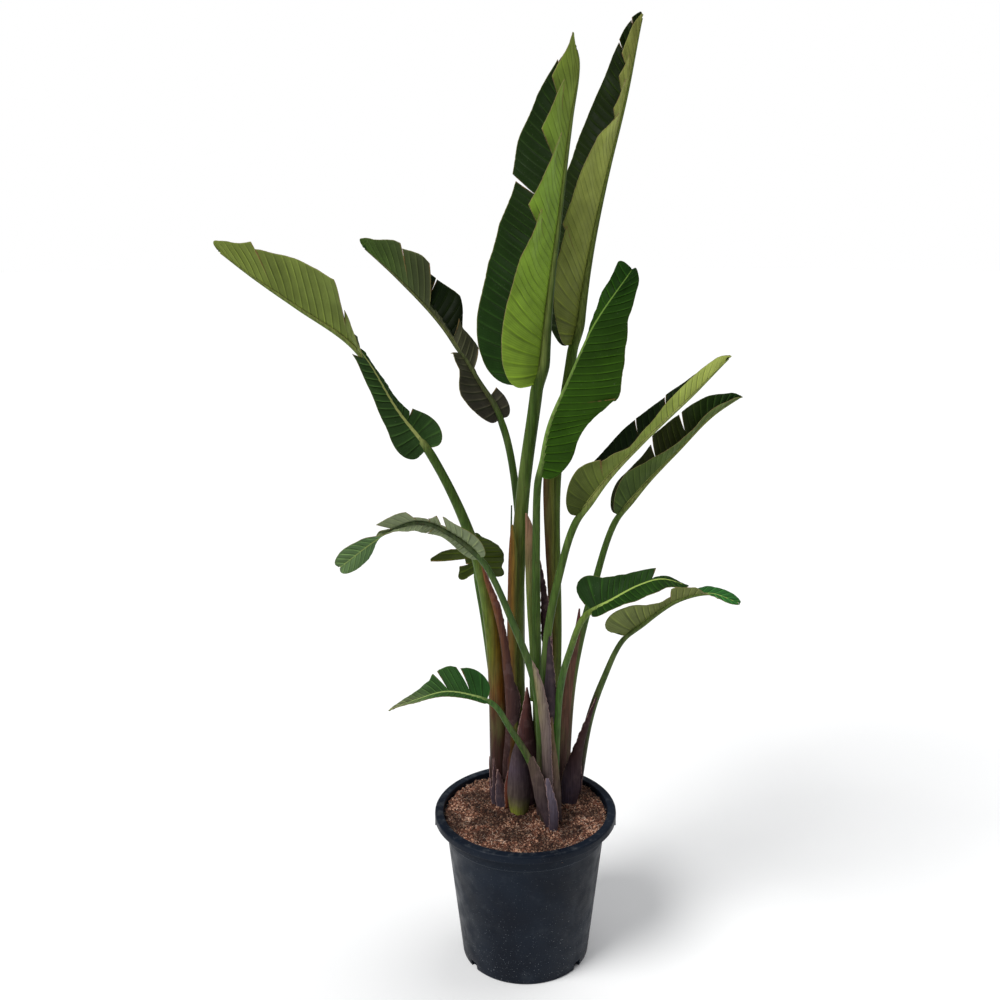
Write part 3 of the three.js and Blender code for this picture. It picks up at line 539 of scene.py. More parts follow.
     "skin": [[0, "3f3038", "3f3038"], [0.2, "4a3a3c", "4a3a3c"], [0.42, "48602c", "5a4a30"],
              [1, "467030", "467030"]],
     "ribHex": "a3b86c 6f8a44", "veins": 9.4},
]
wholeHalf = [[1, 0, 0]]  # the lobes of a half with no tear
blade = {
    "thickness": 0.75, "start": 15, "tipWidth": 3, "tearGap": 1.2, "gapVeins": 1.6, "foldReach": 0.45,
    "tipRounding": 0.14, "tipPower": 0.55, "footRounding": 0.1, "footShare": 0.25,
    "veinAtFoot": -25, "veinAtTip": 72, "veinRise": 12, "riseShare": 0.22,
    "sweepShare": 0.45, "sweepPower": 1.8,
    "columns": 20, "rowOffsets": [0, 0.06, 0.16, 0.3, 0.5, 0.7, 0.85, 0.95],
    "pleat": [0, 0.55, 0.9, 1, 0.85, 0.6, 0.38, 0.18], "veinSpacing": 13,
    "veinDepth": 1.8, "swellDepth": 1.7, "waves": 4, "waveAngle": 2.0, "driftPitch": 9,
    "nibble": 0.006, "nibblePitch": (40, 120), "nibbleShare": 0.5, "nibbleSeeds": (3, 4),
    "ribFade": 0.75,
    "pleatMiddle": 0.6, "ridgePatches": 18.0, "swellPatches": 9.0, "swellPitch": 1.3, "swellDrift": 6.0,
}
stalkSet = {
    "flatness": 0.82, "sheathReach": 0.95, "sheathPower": 1.2, "spacing": 6, "sides": 22, "ribSink": 1.0,
    "taper": 0.6, "taperFrom": 0.75, "thinning": 1.6, "tone": 0.82, "tipStop": 3, "intoBlade": 50,
    "tintTurn": (-0.55, 0.75),
}


def along(table, u):  # smoothed value of a table with even steps
    x = np.clip(u, 0, 1) * (len(table) - 1)
    i = np.minimum(np.floor(x).astype(int), len(table) - 2)
    f = x - i
    g = (f * f * (3 - 2 * f) + f) / 2
    t = np.asarray(table, float)
    if t.ndim > 1:
        g = g[:, None]
    return t[i] * (1 - g) + t[i + 1] * g


class Line:  # a smooth centripetal line through points, measured along its length
    def __init__(self, points, perSpan=60):
        given = [np.array(p, float) for p in points]
        ends = [2 * given[0] - given[1]] + given + [2 * given[-1] - given[-2]]
        spots = []
        t = np.arange(perSpan)[:, None] / perSpan
        for p0, p1, p2, p3 in zip(ends, ends[1:], ends[2:], ends[3:]):
            d0, d1, d2 = [np.linalg.norm(q - p) ** 0.5 for p, q in ((p0, p1), (p1, p2), (p2, p3))]
            m1 = ((p1 - p0) / d0 - (p2 - p0) / (d0 + d1) + (p2 - p1) / d1) * d1
            m2 = ((p2 - p1) / d1 - (p3 - p1) / (d1 + d2) + (p3 - p2) / d2) * d1
            spots.append(p1 + m1 * t + (-3 * p1 + 3 * p2 - 2 * m1 - m2) * t ** 2
                         + (2 * p1 - 2 * p2 + m1 + m2) * t ** 3)
        self.spots = np.vstack(spots + [given[-1]])
        self.marks = np.r_[0, np.cumsum(np.linalg.norm(np.diff(self.spots, axis=0), axis=1))]
        self.length = self.marks[-1]
        self.knots = self.marks[::perSpan]
        self.ways = unit(np.gradient(self.spots, self.marks, axis=0))

    def axes(self, s):  # its place, way, front side and right side
        at, way = [np.stack([np.interp(s, self.marks, rows[:, k]) for k in range(3)], -1)
                   for rows in (self.spots, self.ways)]
        way = unit(way)
        front = unit(np.array([0, -1.0, 0]) - way * -way[:, 1:2])
        return at, way, front, np.cross(way, front)


def lineOf(leaf):  # the leaf's whole line, and how far up it the blade's foot lies
    line = Line(leaf["stalk"] + leaf["rib"])
    return line, line.knots[len(leaf["stalk"]) - 1]


def lineRadius(leaf, line, foot, s):
    atSoil, atFoot, atTip = leaf["r"]
    widening = np.maximum(0, 1 - s / foot / stalkSet["sheathReach"]) ** stalkSet["sheathPower"]
    u = (s - foot) / (line.length - foot)
    thin = np.clip(1 - u, 0, 1) ** leaf.get("thinning", stalkSet["thinning"])
    taper = 1 - stalkSet["taper"] * smooth(stalkSet["taperFrom"], 1, u)
    above = (atTip + (atFoot - atTip) * thin) * taper
    return np.where(s > foot, above, atFoot + (atSoil - atFoot) * widening)


def halfWidth(half, u):
    fromFoot = np.maximum(0, 1 - u / half.get("footRound", blade["footRounding"]))
    intoTip = np.maximum(0, 1 - (1 - u) / half.get("tipRound", blade["tipRounding"]))
    footPart = blade["footShare"] + (1 - blade["footShare"]) * np.sqrt(1 - fromFoot ** 2)
    tipPart = np.maximum(0, 1 - intoTip ** 2) ** blade["tipPower"]
    return np.maximum(along(half["w"], u) * footPart * tipPart, blade["tipWidth"])


def veinLean(half, u):  # degrees that a vein leans towards the tip
    rise = 1 - np.maximum(0, 1 - u / blade["riseShare"]) ** 2
    sweep = np.maximum(0, 1 - (1 - u) / blade["sweepShare"]) ** blade["sweepPower"]
    return (blade["veinAtFoot"] + (half["lean"] - blade["veinAtFoot"]) * rise
            + (half.get("tipLean", blade["veinAtTip"]) - half["lean"]) * sweep)


def halfSheet(leaf, half, side, line, foot, veins, seed):  # one half's middle sheet, its points with facts
    slit, lobes = leaf["slit"], half.get("lobes", wholeHalf)
    start = foot + blade["start"]
    inner = max(2, round(blade["columns"] * slit))
    across = np.r_[np.linspace(0, slit, inner + 1), np.linspace(slit, 1, blade["columns"] - inner + 1)[1:]]
    wide = len(across)
    sheet = {key: [] for key in ("points", "faces", "veinCount", "acrossShare", "dryShare", "pleat")}
    total, begin = 0, 0.0
    for index, (end, turnStart, turnEnd, *shares) in enumerate(lobes):
        shareStart, shareEnd = shares or (1, 1)
        first, last = index == 0, index == len(lobes) - 1
        end = round(end * veins) / veins
        whole = np.arange(round(begin * veins), round(end * veins))
        u = np.r_[(whole[:, None] + np.array(blade["rowOffsets"])).ravel() / veins, end]
        f = (u - begin) / (end - begin)
        at, way, front, right = line.axes(start + (line.length - start) * u)
        width, lean, psi = halfWidth(half, u), veinLean(half, u), along(half["psi"], u)
        turn = turnStart + (turnEnd - turnStart) * f
        share = shareStart + (shareEnd - shareStart) * f
        coarse, fine = blade["nibblePitch"]
        seeds = [seed + k for k in blade["nibbleSeeds"]]
        rough = twoWaves(seeds, u * coarse, u * fine, blade["nibbleShare"])
        share = share * (1 + blade["nibble"] * rough)
        wave = blade["waveAngle"] * (np.sin(2 * np.pi * blade["waves"] * u + seed)
                                     + waveNoise(seed, u * blade["driftPitch"]))
        gapAt = (not first) * (1 - smooth(0, blade["gapVeins"], (u - begin) * veins)) \
            - (not last) * (1 - smooth(0, blade["gapVeins"], (end - u) * veins))
        gapAt = gapAt * half.get("gap", blade["tearGap"])
        spot = at.copy()
        columns = [at.copy()]
        for t, before in zip(across[1:], across[:-1]):
            ramp = smooth(slit, slit + blade["foldReach"], t)
            bend = half.get("curl", 0) * (t + before) / 2 + turn * ramp
            angle = np.radians(psi + side * bend + wave * t * t)
            alpha = np.radians(lean + blade["veinRise"] * t)
            step = (t - before) * width * (1 if t <= slit + 1e-6 else (share - slit) / (1 - slit))
            spot = (spot + right * (step * np.cos(alpha) * np.cos(angle))[:, None]
                    + front * (step * np.cos(alpha) * np.sin(angle))[:, None]
                    + way * (step * np.sin(alpha))[:, None])
            apart = gapAt * max(0, t - slit) / (1 - slit)
            columns.append(spot + way * apart[:, None])
        rows = len(u)
        torn = np.zeros(rows)
        torn[:2] = 0 if first else 1
        torn[-2:] = 0 if last else 1
        faces = bands(rows, wide)
        sheet["points"].append(np.stack(columns, 1).reshape(-1, 3))
        sheet["faces"].append(total + (faces if side > 0 else faces[:, ::-1]))
        sheet["veinCount"].append(np.repeat(u * veins, wide))
        sheet["acrossShare"].append(np.tile(across, rows))
        sheet["dryShare"].append((torn[:, None] * smooth(slit, 1, across)[None, :]).ravel())
        sheet["pleat"].append(np.repeat(np.r_[np.tile(blade["pleat"], len(whole)), 0], wide))
        total += rows * wide
        begin = end
    sheet = {key: np.concatenate(parts) for key, parts in sheet.items()}
    u = sheet["veinCount"] / veins
    sheet["fromRib"] = (sheet["acrossShare"] * halfWidth(half, u)
                        / np.maximum(1 - blade["ribFade"], 1 - blade["ribFade"] * u) * mm)
    return sheet


def thicken(tree, sheet, given, upper, lower, edge):  # makes a sheet a closed solid, each side with its skin
    raised = addNode(tree, "GeometryNodeExtrudeMesh", {
        "Mesh": sheet, "Offset": geo(tree, "InputNormal"), "Offset Scale": given["Thickness"],
        "Individual": False}).outputs
    dress = lambda mesh, skin, **more: geo(tree, "SetMaterial", {
        "Geometry": mesh, "Material": given[skin], **more})
    outside = dress(dress(raised["Mesh"], upper), edge, Selection=raised["Side"])
    inside = dress(geo(tree, "FlipFaces", {"Mesh": sheet}), lower)
    joined = addNode(tree, "GeometryNodeJoinGeometry")
    for part in (inside, outside):
        tree.links.new(part, joined.inputs[0])
    closed = geo(tree, "MergeByDistance", {"Geometry": joined.outputs[0], "Distance": 0.00001})
    return geo(tree, "RealizeInstances", {"Geometry": geo(tree, "SetShadeSmooth", {"Geometry": closed})})


def bladeTree():  # a middle sheet gets its ridged veins, its thickness and its two skins
    tree, keys, given = startTree("leafBlade", {
        "Thickness": "Float", "Vein Depth": "Float", "Swell Depth": "Float",
        "Upper Skin": "Material", "Lower Skin": "Material", "Margin": "Material"})
    count, across, pleat = [readNamed(tree, name) for name in ("veinCount", "acrossShare", "pleat")]
    place = geo(tree, "InputPosition")
    cloud = lambda scale: addNode(tree, "ShaderNodeTexNoise", {
        "Vector": place, "Scale": scale, "Detail": 1.0}).outputs["Fac"]
    times = lambda a, b: maths(tree, "MULTIPLY", a, b)
    patches = remap(tree, cloud(blade["ridgePatches"]), 0.3, 0.7, 0.6, 1.2)
    ridge = times(maths(tree, "SUBTRACT", blade["pleatMiddle"], pleat), patches)
    fade = times(remap(tree, across, 0.0, 0.15), remap(tree, across, 0.7, 1.0, 1.0, 0.2))  # rib and margin
    veinHeight = times(times(ridge, fade), given["Vein Depth"])
    slow = maths(tree, "ADD", times(count, blade["swellPitch"]),
                 times(cloud(blade["swellPatches"]), blade["swellDrift"]))
    swell = times(maths(tree, "SINE", slow), remap(tree, across, 0.1, 0.5))
    swell = times(swell, remap(tree, across, 0.7, 1.0, 1.0, 0.3))
    lift = maths(tree, "SUBTRACT", times(swell, given["Swell Depth"]), veinHeight)
    lift = maths(tree, "SUBTRACT", lift, times(given["Thickness"], 0.5))
    sheet = alongNormal(tree, given["Geometry"], lift)
    return endTree(tree, keys, thicken(tree, sheet, given, "Upper Skin", "Lower Skin", "Margin"))


def sweepTree():  # a line of points becomes a closed stalk, coloured by the way its skin faces
    tree, keys, given = startTree("stalkSweep", {"Sides": "Int", "Flatness": "Float", "Skin": "Material"})
    curve = geo(tree, "MeshToCurve", {"Mesh": given["Geometry"]})
    curve = geo(tree, "SetCurveNormal", {
        "Curve": curve, "Normal": readNamed(tree, "frontSide", "FLOAT_VECTOR")}, mode="FREE")
    ring = geo(tree, "CurvePrimitiveCircle", {"Resolution": given["Sides"], "Radius": 1.0})
    squash = addNode(tree, "ShaderNodeCombineXYZ", {"X": given["Flatness"], "Y": 1.0, "Z": 1.0}).outputs[0]
    ring = geo(tree, "Transform", {"Geometry": ring, "Scale": squash})
    skin = geo(tree, "CurveToMesh", {
        "Curve": curve, "Profile Curve": ring, "Scale": readNamed(tree, "radius"), "Fill Caps": True})
    toward = addNode(tree, "ShaderNodeVectorMath", {
        0: geo(tree, "InputNormal"), 1: readNamed(tree, "tintWay", "FLOAT_VECTOR")},
        operation="DOT_PRODUCT").outputs["Value"]
    tint = mixColour(tree, remap(tree, toward, *stalkSet["tintTurn"]),
                     readNamed(tree, "tintAway", "FLOAT_COLOR"), readNamed(tree, "tintToward", "FLOAT_COLOR"))
    skin = geo(tree, "StoreNamedAttribute", {"Geometry": skin, "Name": "tint", "Value": tint},
               data_type="FLOAT_COLOR", domain="POINT")
    real = geo(tree, "RealizeInstances", {"Geometry": geo(tree, "SetShadeSmooth", {"Geometry": skin})})
    return endTree(tree, keys, geo(tree, "SetMaterial", {"Geometry": real, "Material": given["Skin"]}))


leafBlade = bladeTree()
stalkSweep = sweepTree()


def blendStops(stops, column, x):
    values = np.array([hexColour(stop[column]) for stop in stops])
    return np.stack([np.interp(x, [stop[0] for stop in stops], values[:, k]) for k in range(4)], -1)


def sweep(name, spots, radius, front, away, toward, way):
    mesh = makeMesh(name, spots * mm, edges=[(i, i + 1) for i in range(len(spots) - 1)],
                    floats={"radius": radius * mm}, colours={"tintAway": away, "tintToward": toward},
                    vectors={"frontSide": front, "tintWay": way})
    return grow(makeObject(name, mesh), stalkSweep, {
        "Sides": stalkSet["sides"], "Flatness": stalkSet["flatness"], "Skin": skins["stalk"]})


def makeStalk(number, leaf):
    line, foot = lineOf(leaf)
    s = np.linspace(0, line.length - stalkSet["tipStop"], round(line.length / stalkSet["spacing"]) + 1)
    at, _, front, right = line.axes(s)
    radius = lineRadius(leaf, line, foot, s)
    u = np.clip((s - foot) / (line.length - foot), 0, 1)
    middle = np.radians((along(leaf["a"]["psi"], u) + along(leaf["b"]["psi"], u)) / 2)
    glossySide = right * np.cos(middle)[:, None] + front * np.sin(middle)[:, None]
    intoBlade = smooth(foot, foot + stalkSet["intoBlade"], s)[:, None]
    at = at - glossySide * (radius * stalkSet["ribSink"])[:, None] * intoBlade
    tintWay = np.array([1.0, 0, 0]) * (1 - intoBlade) + glossySide * intoBlade
    low = np.clip(s / foot, 0, 1)
    upperRib, underRib = hexColours(leaf["ribHex"])
    stalkShare = (1 - intoBlade) * stalkSet["tone"]
    away, toward = [blendStops(leaf["skin"], column, low) * stalkShare + rib * intoBlade
                    for column, rib in ((1, underRib), (2, upperRib))]
    piece = sweep(f"leaf{number:02d}Stalk", at, radius, front, away, toward, tintWay)
    finishPiece(piece, "stalk", f"leaf_{number:02d}_stalk")
    return piece


def makeBlade(number, leaf):
    line, foot = lineOf(leaf)
    veins = round((line.length - foot - blade["start"]) / leaf["veins"])
    left, right = [halfSheet(leaf, leaf[key], side, line, foot, veins, number * 10 + side)
                   for side, key in ((1, "a"), (-1, "b"))]
    right["faces"] += len(left["points"])
    facts = {key: np.concatenate([left[key], right[key]]) for key in left}
    points, faces = facts.pop("points"), facts.pop("faces")
    u = facts["veinCount"] / veins
    tints = {look + "Tint": along(hexColours(leaf[look]), u) for look in ("upper", "under")}
    tints["ribTint"] = np.tile(hexColours(leaf["ribHex"])[0], (len(u), 1))
    name = f"leaf{number:02d}Blade"
    mesh = makeMesh(name, points * mm, faces=faces, colours=tints, floats=facts)
    reshape(mesh, lambda whole: bmesh.ops.remove_doubles(whole, verts=whole.verts, dist=1e-6))
    scale = leaf["veins"] / blade["veinSpacing"]
    piece = grow(makeObject(name, mesh), leafBlade, {
        "Thickness": blade["thickness"] * mm, "Vein Depth": blade["veinDepth"] * scale * mm,
        "Swell Depth": blade["swellDepth"] * scale * mm, "Upper Skin": skins["upper"],
        "Lower Skin": skins["under"], "Margin": skins["margin"]})
    finishPiece(piece, "blade", f"leaf_{number:02d}_blade")
    return piece


triangles = 0
for number, leaf in enumerate(leaves, 1):
    triangles += triangleCount(makeStalk(number, leaf)) + triangleCount(makeBlade(number, leaf))
print("leaves made:", len(leaves), "triangles", triangles)


# the rolled new leaf

spear = {"line": [[-32, 24, 230], [-24, 22, 420], [-24, 40, 600], [-24, 62, 690], [-23, 80, 770]],
         "r": [7, 5.5, 1.2], "steps": 110,
         "skin": [[0, "5a5a2a", "4a6a2c"], [0.5, "4a5f2a", "41602a"], [1, "2c4424", "24401f"]]}


def makeSpear():
    line = Line(spear["line"])
    s = np.linspace(0, line.length, spear["steps"])
    at, _, front, _ = line.axes(s)
    share = s / line.length
    piece = sweep("spearLeaf", at, along(spear["r"], share), front, blendStops(spear["skin"], 1, share),
                  blendStops(spear["skin"], 2, share), np.tile([1.0, 0, 0], (len(s), 1)))
    finishPiece(piece, "young_leaf", "spear")


makeSpear()
print("spear made")


# old sheaths and ragged membranes, wrapped round the stalks' feet.
# low and high are heights, face is the way one looks and reach how far round it goes, in degrees

wraps = [
    {"leaf": 4, "low": 238, "high": 330, "face": 200, "reach": 150, "hexes": "3a2a34 5b4250"},
    {"leaf": 1, "low": 236, "high": 560, "face": 120, "reach": 120, "hexes": "3a2530 5b3a48"},
    {"leaf": 2, "low": 236, "high": 430, "face": 40, "reach": 130, "hexes": "4a343c 6b4a50"},
    {"leaf": 11, "low": 236, "high": 330, "face": 110, "reach": 170, "hexes": "2a1c28 4a3a48"},
    {"leaf": 12, "low": 236, "high": 300, "face": 300, "reach": 150, "hexes": "4a3a44 6a565e"},
]
wrapSet = {
    "thickness": 0.8, "crinkle": 1.6, "off": 1.2, "rows": 90, "columns": 28, "ragged": 0.12,
    "raggedPitch": (14, 45), "raggedShare": 0.6, "patches": 150.0, "patchStretch": (1.0, 1.0, 0.25),
    "raggedSeeds": (50, 60), "dimpleSeed": 70, "risingSpots": 200,
    "narrowing": 0.9, "narrowPower": 1.6, "edgeShift": 17, "dimple": 0.5, "dimplePitch": (9, 0.03),
    "flare": 0.8, "flarePower": 6,
    "tornSide": 0.86, "tornTop": 0.93,
}


def sheetTree():  # a thin, slightly crinkled sheet
    tree, keys, given = startTree("sheathSheet", {
        "Thickness": "Float", "Crinkle": "Float", "Skin": "Material"})
    place = addNode(tree, "ShaderNodeVectorMath", {0: geo(tree, "InputPosition"), 1: wrapSet["patchStretch"]},
                    operation="MULTIPLY").outputs[0]
    rough = addNode(tree, "ShaderNodeTexNoise", {
        "Vector": place, "Scale": wrapSet["patches"], "Detail": 2.0}).outputs["Fac"]
    lift = maths(tree, "MULTIPLY", maths(tree, "SUBTRACT", rough, 0.5), given["Crinkle"])
    sheet = alongNormal(tree, given["Geometry"], lift)
    return endTree(tree, keys, thicken(tree, sheet, given, "Skin", "Skin", "Skin"))


sheathSheet = sheetTree()


def closeSheet(name, grid, torn, tint, skin):  # a grid of points as a thin closed shell
    mesh = makeMesh(name, grid.reshape(-1, 3) * mm, faces=bands(*grid.shape[:2]),
                    floats={"tornShare": torn}, colours={"tint": tint})
    return grow(makeObject(name, mesh), sheathSheet, {
        "Thickness": wrapSet["thickness"] * mm, "Crinkle": wrapSet["crinkle"] * mm, "Skin": skin})


def makeWrap(index, wrap):
    leaf = leaves[wrap["leaf"] - 1]
    line, foot = lineOf(leaf)
    rising = slice(wrapSet["risingSpots"])  # the stretch that only rises
    s0, s1 = [float(np.interp(wrap[key], line.spots[rising, 2], line.marks[rising]))
              for key in ("low", "high")]
    f = np.linspace(0, 1, wrapSet["rows"])
    s = s0 + (s1 - s0) * f
    at, _, front, right = line.axes(s)
    radius = lineRadius(leaf, line, foot, s)
    coarse, fine = wrapSet["raggedPitch"]
    seeds = [index + k for k in wrapSet["raggedSeeds"]]
    ragged = twoWaves(seeds, f * coarse, f * fine, wrapSet["raggedShare"])
    reach = wrap["reach"] / 2 * (1 - wrapSet["narrowing"] * f ** wrapSet["narrowPower"])
    leftEdge, rightEdge = [reach * (1 + wrapSet["ragged"] * rough)
                           for rough in (ragged, np.roll(ragged, wrapSet["edgeShift"]))]
    t = np.linspace(-1, 1, wrapSet["columns"])[None, :]
    angle = np.radians(wrap["face"] + np.where(t < 0, t * leftEdge[:, None], t * rightEdge[:, None]))
    sideways, up = wrapSet["dimplePitch"]
    dimples = fieldNoise(index + wrapSet["dimpleSeed"], angle * sideways, s[:, None] * up + 0 * angle)
    flare = wrapSet["flare"] * np.abs(t) ** wrapSet["flarePower"]
    off = wrapSet["off"] + dimples * wrapSet["dimple"] + flare
    grid = (at[:, None] + right[:, None] * ((radius[:, None] + off) * np.cos(angle))[..., None]
            + front[:, None] * ((radius[:, None] * stalkSet["flatness"] + off) * np.sin(angle))[..., None])
    torn = np.maximum(smooth(wrapSet["tornSide"], 1.0, np.abs(t)),
                      smooth(wrapSet["tornTop"], 1.0, f)[:, None])
    low, high = hexColours(wrap["hexes"])
    tint = low + (high - low) * f[:, None, None] + np.zeros((*angle.shape, 4))
    piece = closeSheet(f"oldSheath{index + 1:02d}", grid, torn, tint, skins["sheath"])
    finishPiece(piece, "old_sheath", f"sheath_{index + 1:02d}")


# wings and torn sheaths in front of the stalks. rows have a height, a left edge and a right edge, from the
# bottom up; depth is y, from the bottom up; each of the hexes is a row of colours from left to right
strips = [
    {"name": "leaf04Wing", "depth": [30, 14, 12, 14, 25], "torn": "right", "bulge": 5,
     "hexes": ["3a2622 342222 3a2a2c", "4a2c22 3e2624 40302e", "7a4e22 6a3c22 5a2c24"],
     "rows": [[260, -38, -24], [336, -38, -18], [383, -34, -15], [437, -32, -9], [458, -33, -9],
              [485, -34, -16], [512, -37, -20], [537, -38, -24], [565, -42, -30], [618, -54, -42],
              [655, -65, -57], [683, -71, -69]]},
    {"name": "leaf02WingLeft", "skin": "stalk", "depth": [12, 11, 13, 18, 22], "bulge": 3,
     "hexes": ["4a2226 5a3c1a 44501c", "6a3c1e 7a5a20 4f5c20"],
     "rows": [[283, -30, -16], [376, -30, -13], [449, -30, -13], [538, -30, -14], [625, -29, -14],
              [718, -26, -14], [753, -22, -20]]},
    {"name": "leaf02WingRight", "skin": "stalk", "depth": [20, 22], "bulge": 3,
     "hexes": ["466428 4a6628", "5a7030 64763a", "8a6450 94705a"],
     "rows": [[449, 8, 18], [485, 7, 17], [538, 7, 16], [625, 2, 13], [693, 0, 12], [747, 0, 12],
              [772, 0, 2]]},
    {"name": "leaf01WingLeft", "skin": "stalk", "depth": [54, 66], "bulge": 3,
     "hexes": ["4a2c22 5a5a20", "5a3426 5c6822"],
     "rows": [[560, 39, 47], [631, 37, 47], [700, 33, 47], [760, 30, 47], [814, 29, 46], [850, 31, 46],
              [875, 38, 46]]},
    {"name": "leaf01TornWing", "depth": [12, 16], "torn": "both", "bulge": 3,
     "hexes": ["2a1418 2e161c", "240f14 2a1418"],
     "rows": [[553, 27, 39], [596, 25, 37], [622, 25, 37], [656, 23, 32], [695, 22, 24]]},
    {"name": "purpleWing", "depth": [-16, -20], "torn": "right", "bulge": 4,
     "hexes": ["4a4046 3c3036", "352a30 33282e"],
     "rows": [[418, 36, 44], [436, 32, 48], [468, 30, 51], [494, 31, 49], [530, 34, 46], [556, 35, 43],
              [579, 38, 40]]},
    {"name": "maroonWing", "depth": [0, 8], "torn": "left", "bulge": 8,
     "hexes": ["3a282e 2c1c20", "52281f 381a14"],
     "rows": [[270, -20, 14], [289, -20, 17], [335, -19, 20], [363, -17, 19], [399, -13, 14], [426, -8, 11],
              [453, -3, 8], [479, 2, 3]]},
    {"name": "leaf02Base", "depth": [-6, -4], "bulge": 9,
     # above its green foot each row is lighter on the left: a painted highlight on its left side
     "hexes": ["a0ac2a 7a8030", "5e5248 463a3c", "564852 42343c", "40302e 2e2022"],
     "rows": [[244, -19, -3], [261, -25, 4], [294, -30, 8], [330, -28, 6], [366, -22, 0], [387, -16, -6]]},
    {"name": "tornRemnantOne", "depth": [22, 24], "torn": "both", "bulge": 4,
     "hexes": ["463e48 3c3038", "33262a 5a3a3a"],
     "rows": [[246, -57, -39], [273, -59, -43], [301, -56, -48], [319, -55, -50], [343, -55, -53]]},
    {"name": "tornRemnantTwo", "depth": [10, 18], "torn": "both", "bulge": 4,
     "hexes": ["4a4450 3c343c", "42343a 5a3e3c"],
     "rows": [[245, -46, -22], [267, -50, -27], [285, -51, -33], [307, -49, -40], [325, -48, -47]]},
    {"name": "tornRemnantThree", "depth": [6, 12], "torn": "both", "bulge": 1.5,
     "hexes": ["7a4420 6b3018", "6b2c24 8a4a44"],
     "rows": [[259, -35, -29], [296, -36, -29], [324, -30, -25], [342, -24, -23]]},
    {"name": "leaf08Wing", "depth": [-34, -36], "torn": "right", "bulge": 5,
     "hexes": ["403034 4a3a3e 4c3e40", "6a5c50 74665e 6c5e5e", "8a8a4a 94886a 8a7870"],
     "rows": [[285, 22, 46], [330, 27, 45], [384, 27, 42], [420, 25, 41], [455, 21, 38], [490, 17, 31],
              [522, 11, 22], [546, 6, 9]]},
    {"name": "leaf10Sheath", "depth": [-30, -24], "torn": "left", "bulge": 4,
     "hexes": ["4a3a40 4a3c40", "7a5a48 7a6a44"],
     "rows": [[250, 40, 60], [309, 37, 58], [362, 37, 53], [406, 39, 47], [441, 42, 44]]},
    {"name": "leaf12Sheath", "depth": [-46, -50], "torn": "right", "bulge": 5,
     "hexes": ["3f3440 463a44", "5a4c3c 5a4a40"],
     "rows": [[248, 36, 55], [278, 26, 50], [301, 17, 39], [329, 12, 33], [356, 7, 25], [384, 0, 12]]},
    {"name": "paleSheath", "depth": [-58, -54], "torn": "both", "bulge": 3,
     "hexes": ["423a46 4c4450", "6c6470 645a68"],
     "rows": [[248, 39, 53], [294, 38, 53], [321, 34, 46], [347, 33, 37]]},
    {"name": "leaf07Wing", "skin": "stalk", "depth": [44, 50, 54, 42], "bulge": 3,
     "hexes": ["5a4a4c 5c4a4a", "7a5648 74503f", "6a4038 5a2c28"],
     "rows": [[250, 48, 66], [330, 52, 71], [430, 60, 77], [500, 70, 84], [560, 81, 91], [604, 88, 90]]},
    {"name": "leaf11Sheath", "depth": [26, 18], "torn": "left", "bulge": 6,
     "hexes": ["6a6074 463842", "3e2626 36221e", "3a2020 33201e"],
     "rows": [[250, 62, 85], [280, 60, 92], [309, 62, 93], [338, 71, 95], [366, 82, 98], [413, 99, 108],
              [456, 117, 119]]},
]
stripSet = {"rowStep": 2.5, "columns": 15, "raggedness": 1.3, "raggedShare": 0.2, "raggedPitch": (5.5, 2.1),
            "coarseShare": 0.65, "seeds": ((100, 109), (200, 209)), "tornReach": 1.2, "fullBulge": 20}
stripSlots = {"stalk": "stalk", "sheath": "old_sheath"}


def makeStrip(index, strip):
    rows = np.array(strip["rows"], float)
    z = np.linspace(rows[0, 0], rows[-1, 0], round((rows[-1, 0] - rows[0, 0]) / stripSet["rowStep"]))
    line = Line([[left, right, height] for height, left, right in rows])
    edges = [np.interp(z, line.spots[:, 2], line.spots[:, k]) for k in (0, 1)]
    width = edges[1] - edges[0]
    nibble = np.minimum(stripSet["raggedness"], width * stripSet["raggedShare"])
    isTorn = [strip.get("torn") in (side, "both") for side in ("left", "right")]
    coarse, fine = stripSet["raggedPitch"]
    rough = [twoWaves((index + first, index + second), z / coarse, z / fine, stripSet["coarseShare"])
             for first, second in stripSet["seeds"]]
    left, right = [(edges[k] + nibble * rough[k] * isTorn[k])[:, None] for k in (0, 1)]
    f = (z - z[0]) / (z[-1] - z[0])
    t = np.linspace(0, 1, stripSet["columns"])
    x = left + (right - left) * t
    bulge = strip["bulge"] * np.minimum(1, width / stripSet["fullBulge"])
    y = along(strip["depth"], f)[:, None] - bulge[:, None] * (1 - (2 * t - 1) ** 2)
    torn = np.zeros_like(x)
    for k, distance in enumerate((x - left, right - x)):
        if isTorn[k]:
            torn = np.maximum(torn, 1 - smooth(0, stripSet["tornReach"], distance))
    tint = along([along(hexColours(row), t).ravel() for row in strip["hexes"]], f)
    skin = strip.get("skin", "sheath")
    piece = closeSheet(strip["name"], np.stack([x, y, z[:, None] + 0 * x], -1), torn, tint, skins[skin])
    finishPiece(piece, stripSlots[skin])


for index, wrap in enumerate(wraps):
    makeWrap(index, wrap)
for index, strip in enumerate(strips):
    makeStrip(index, strip)
print("sheaths made:", len(wraps) + len(strips))


# pot

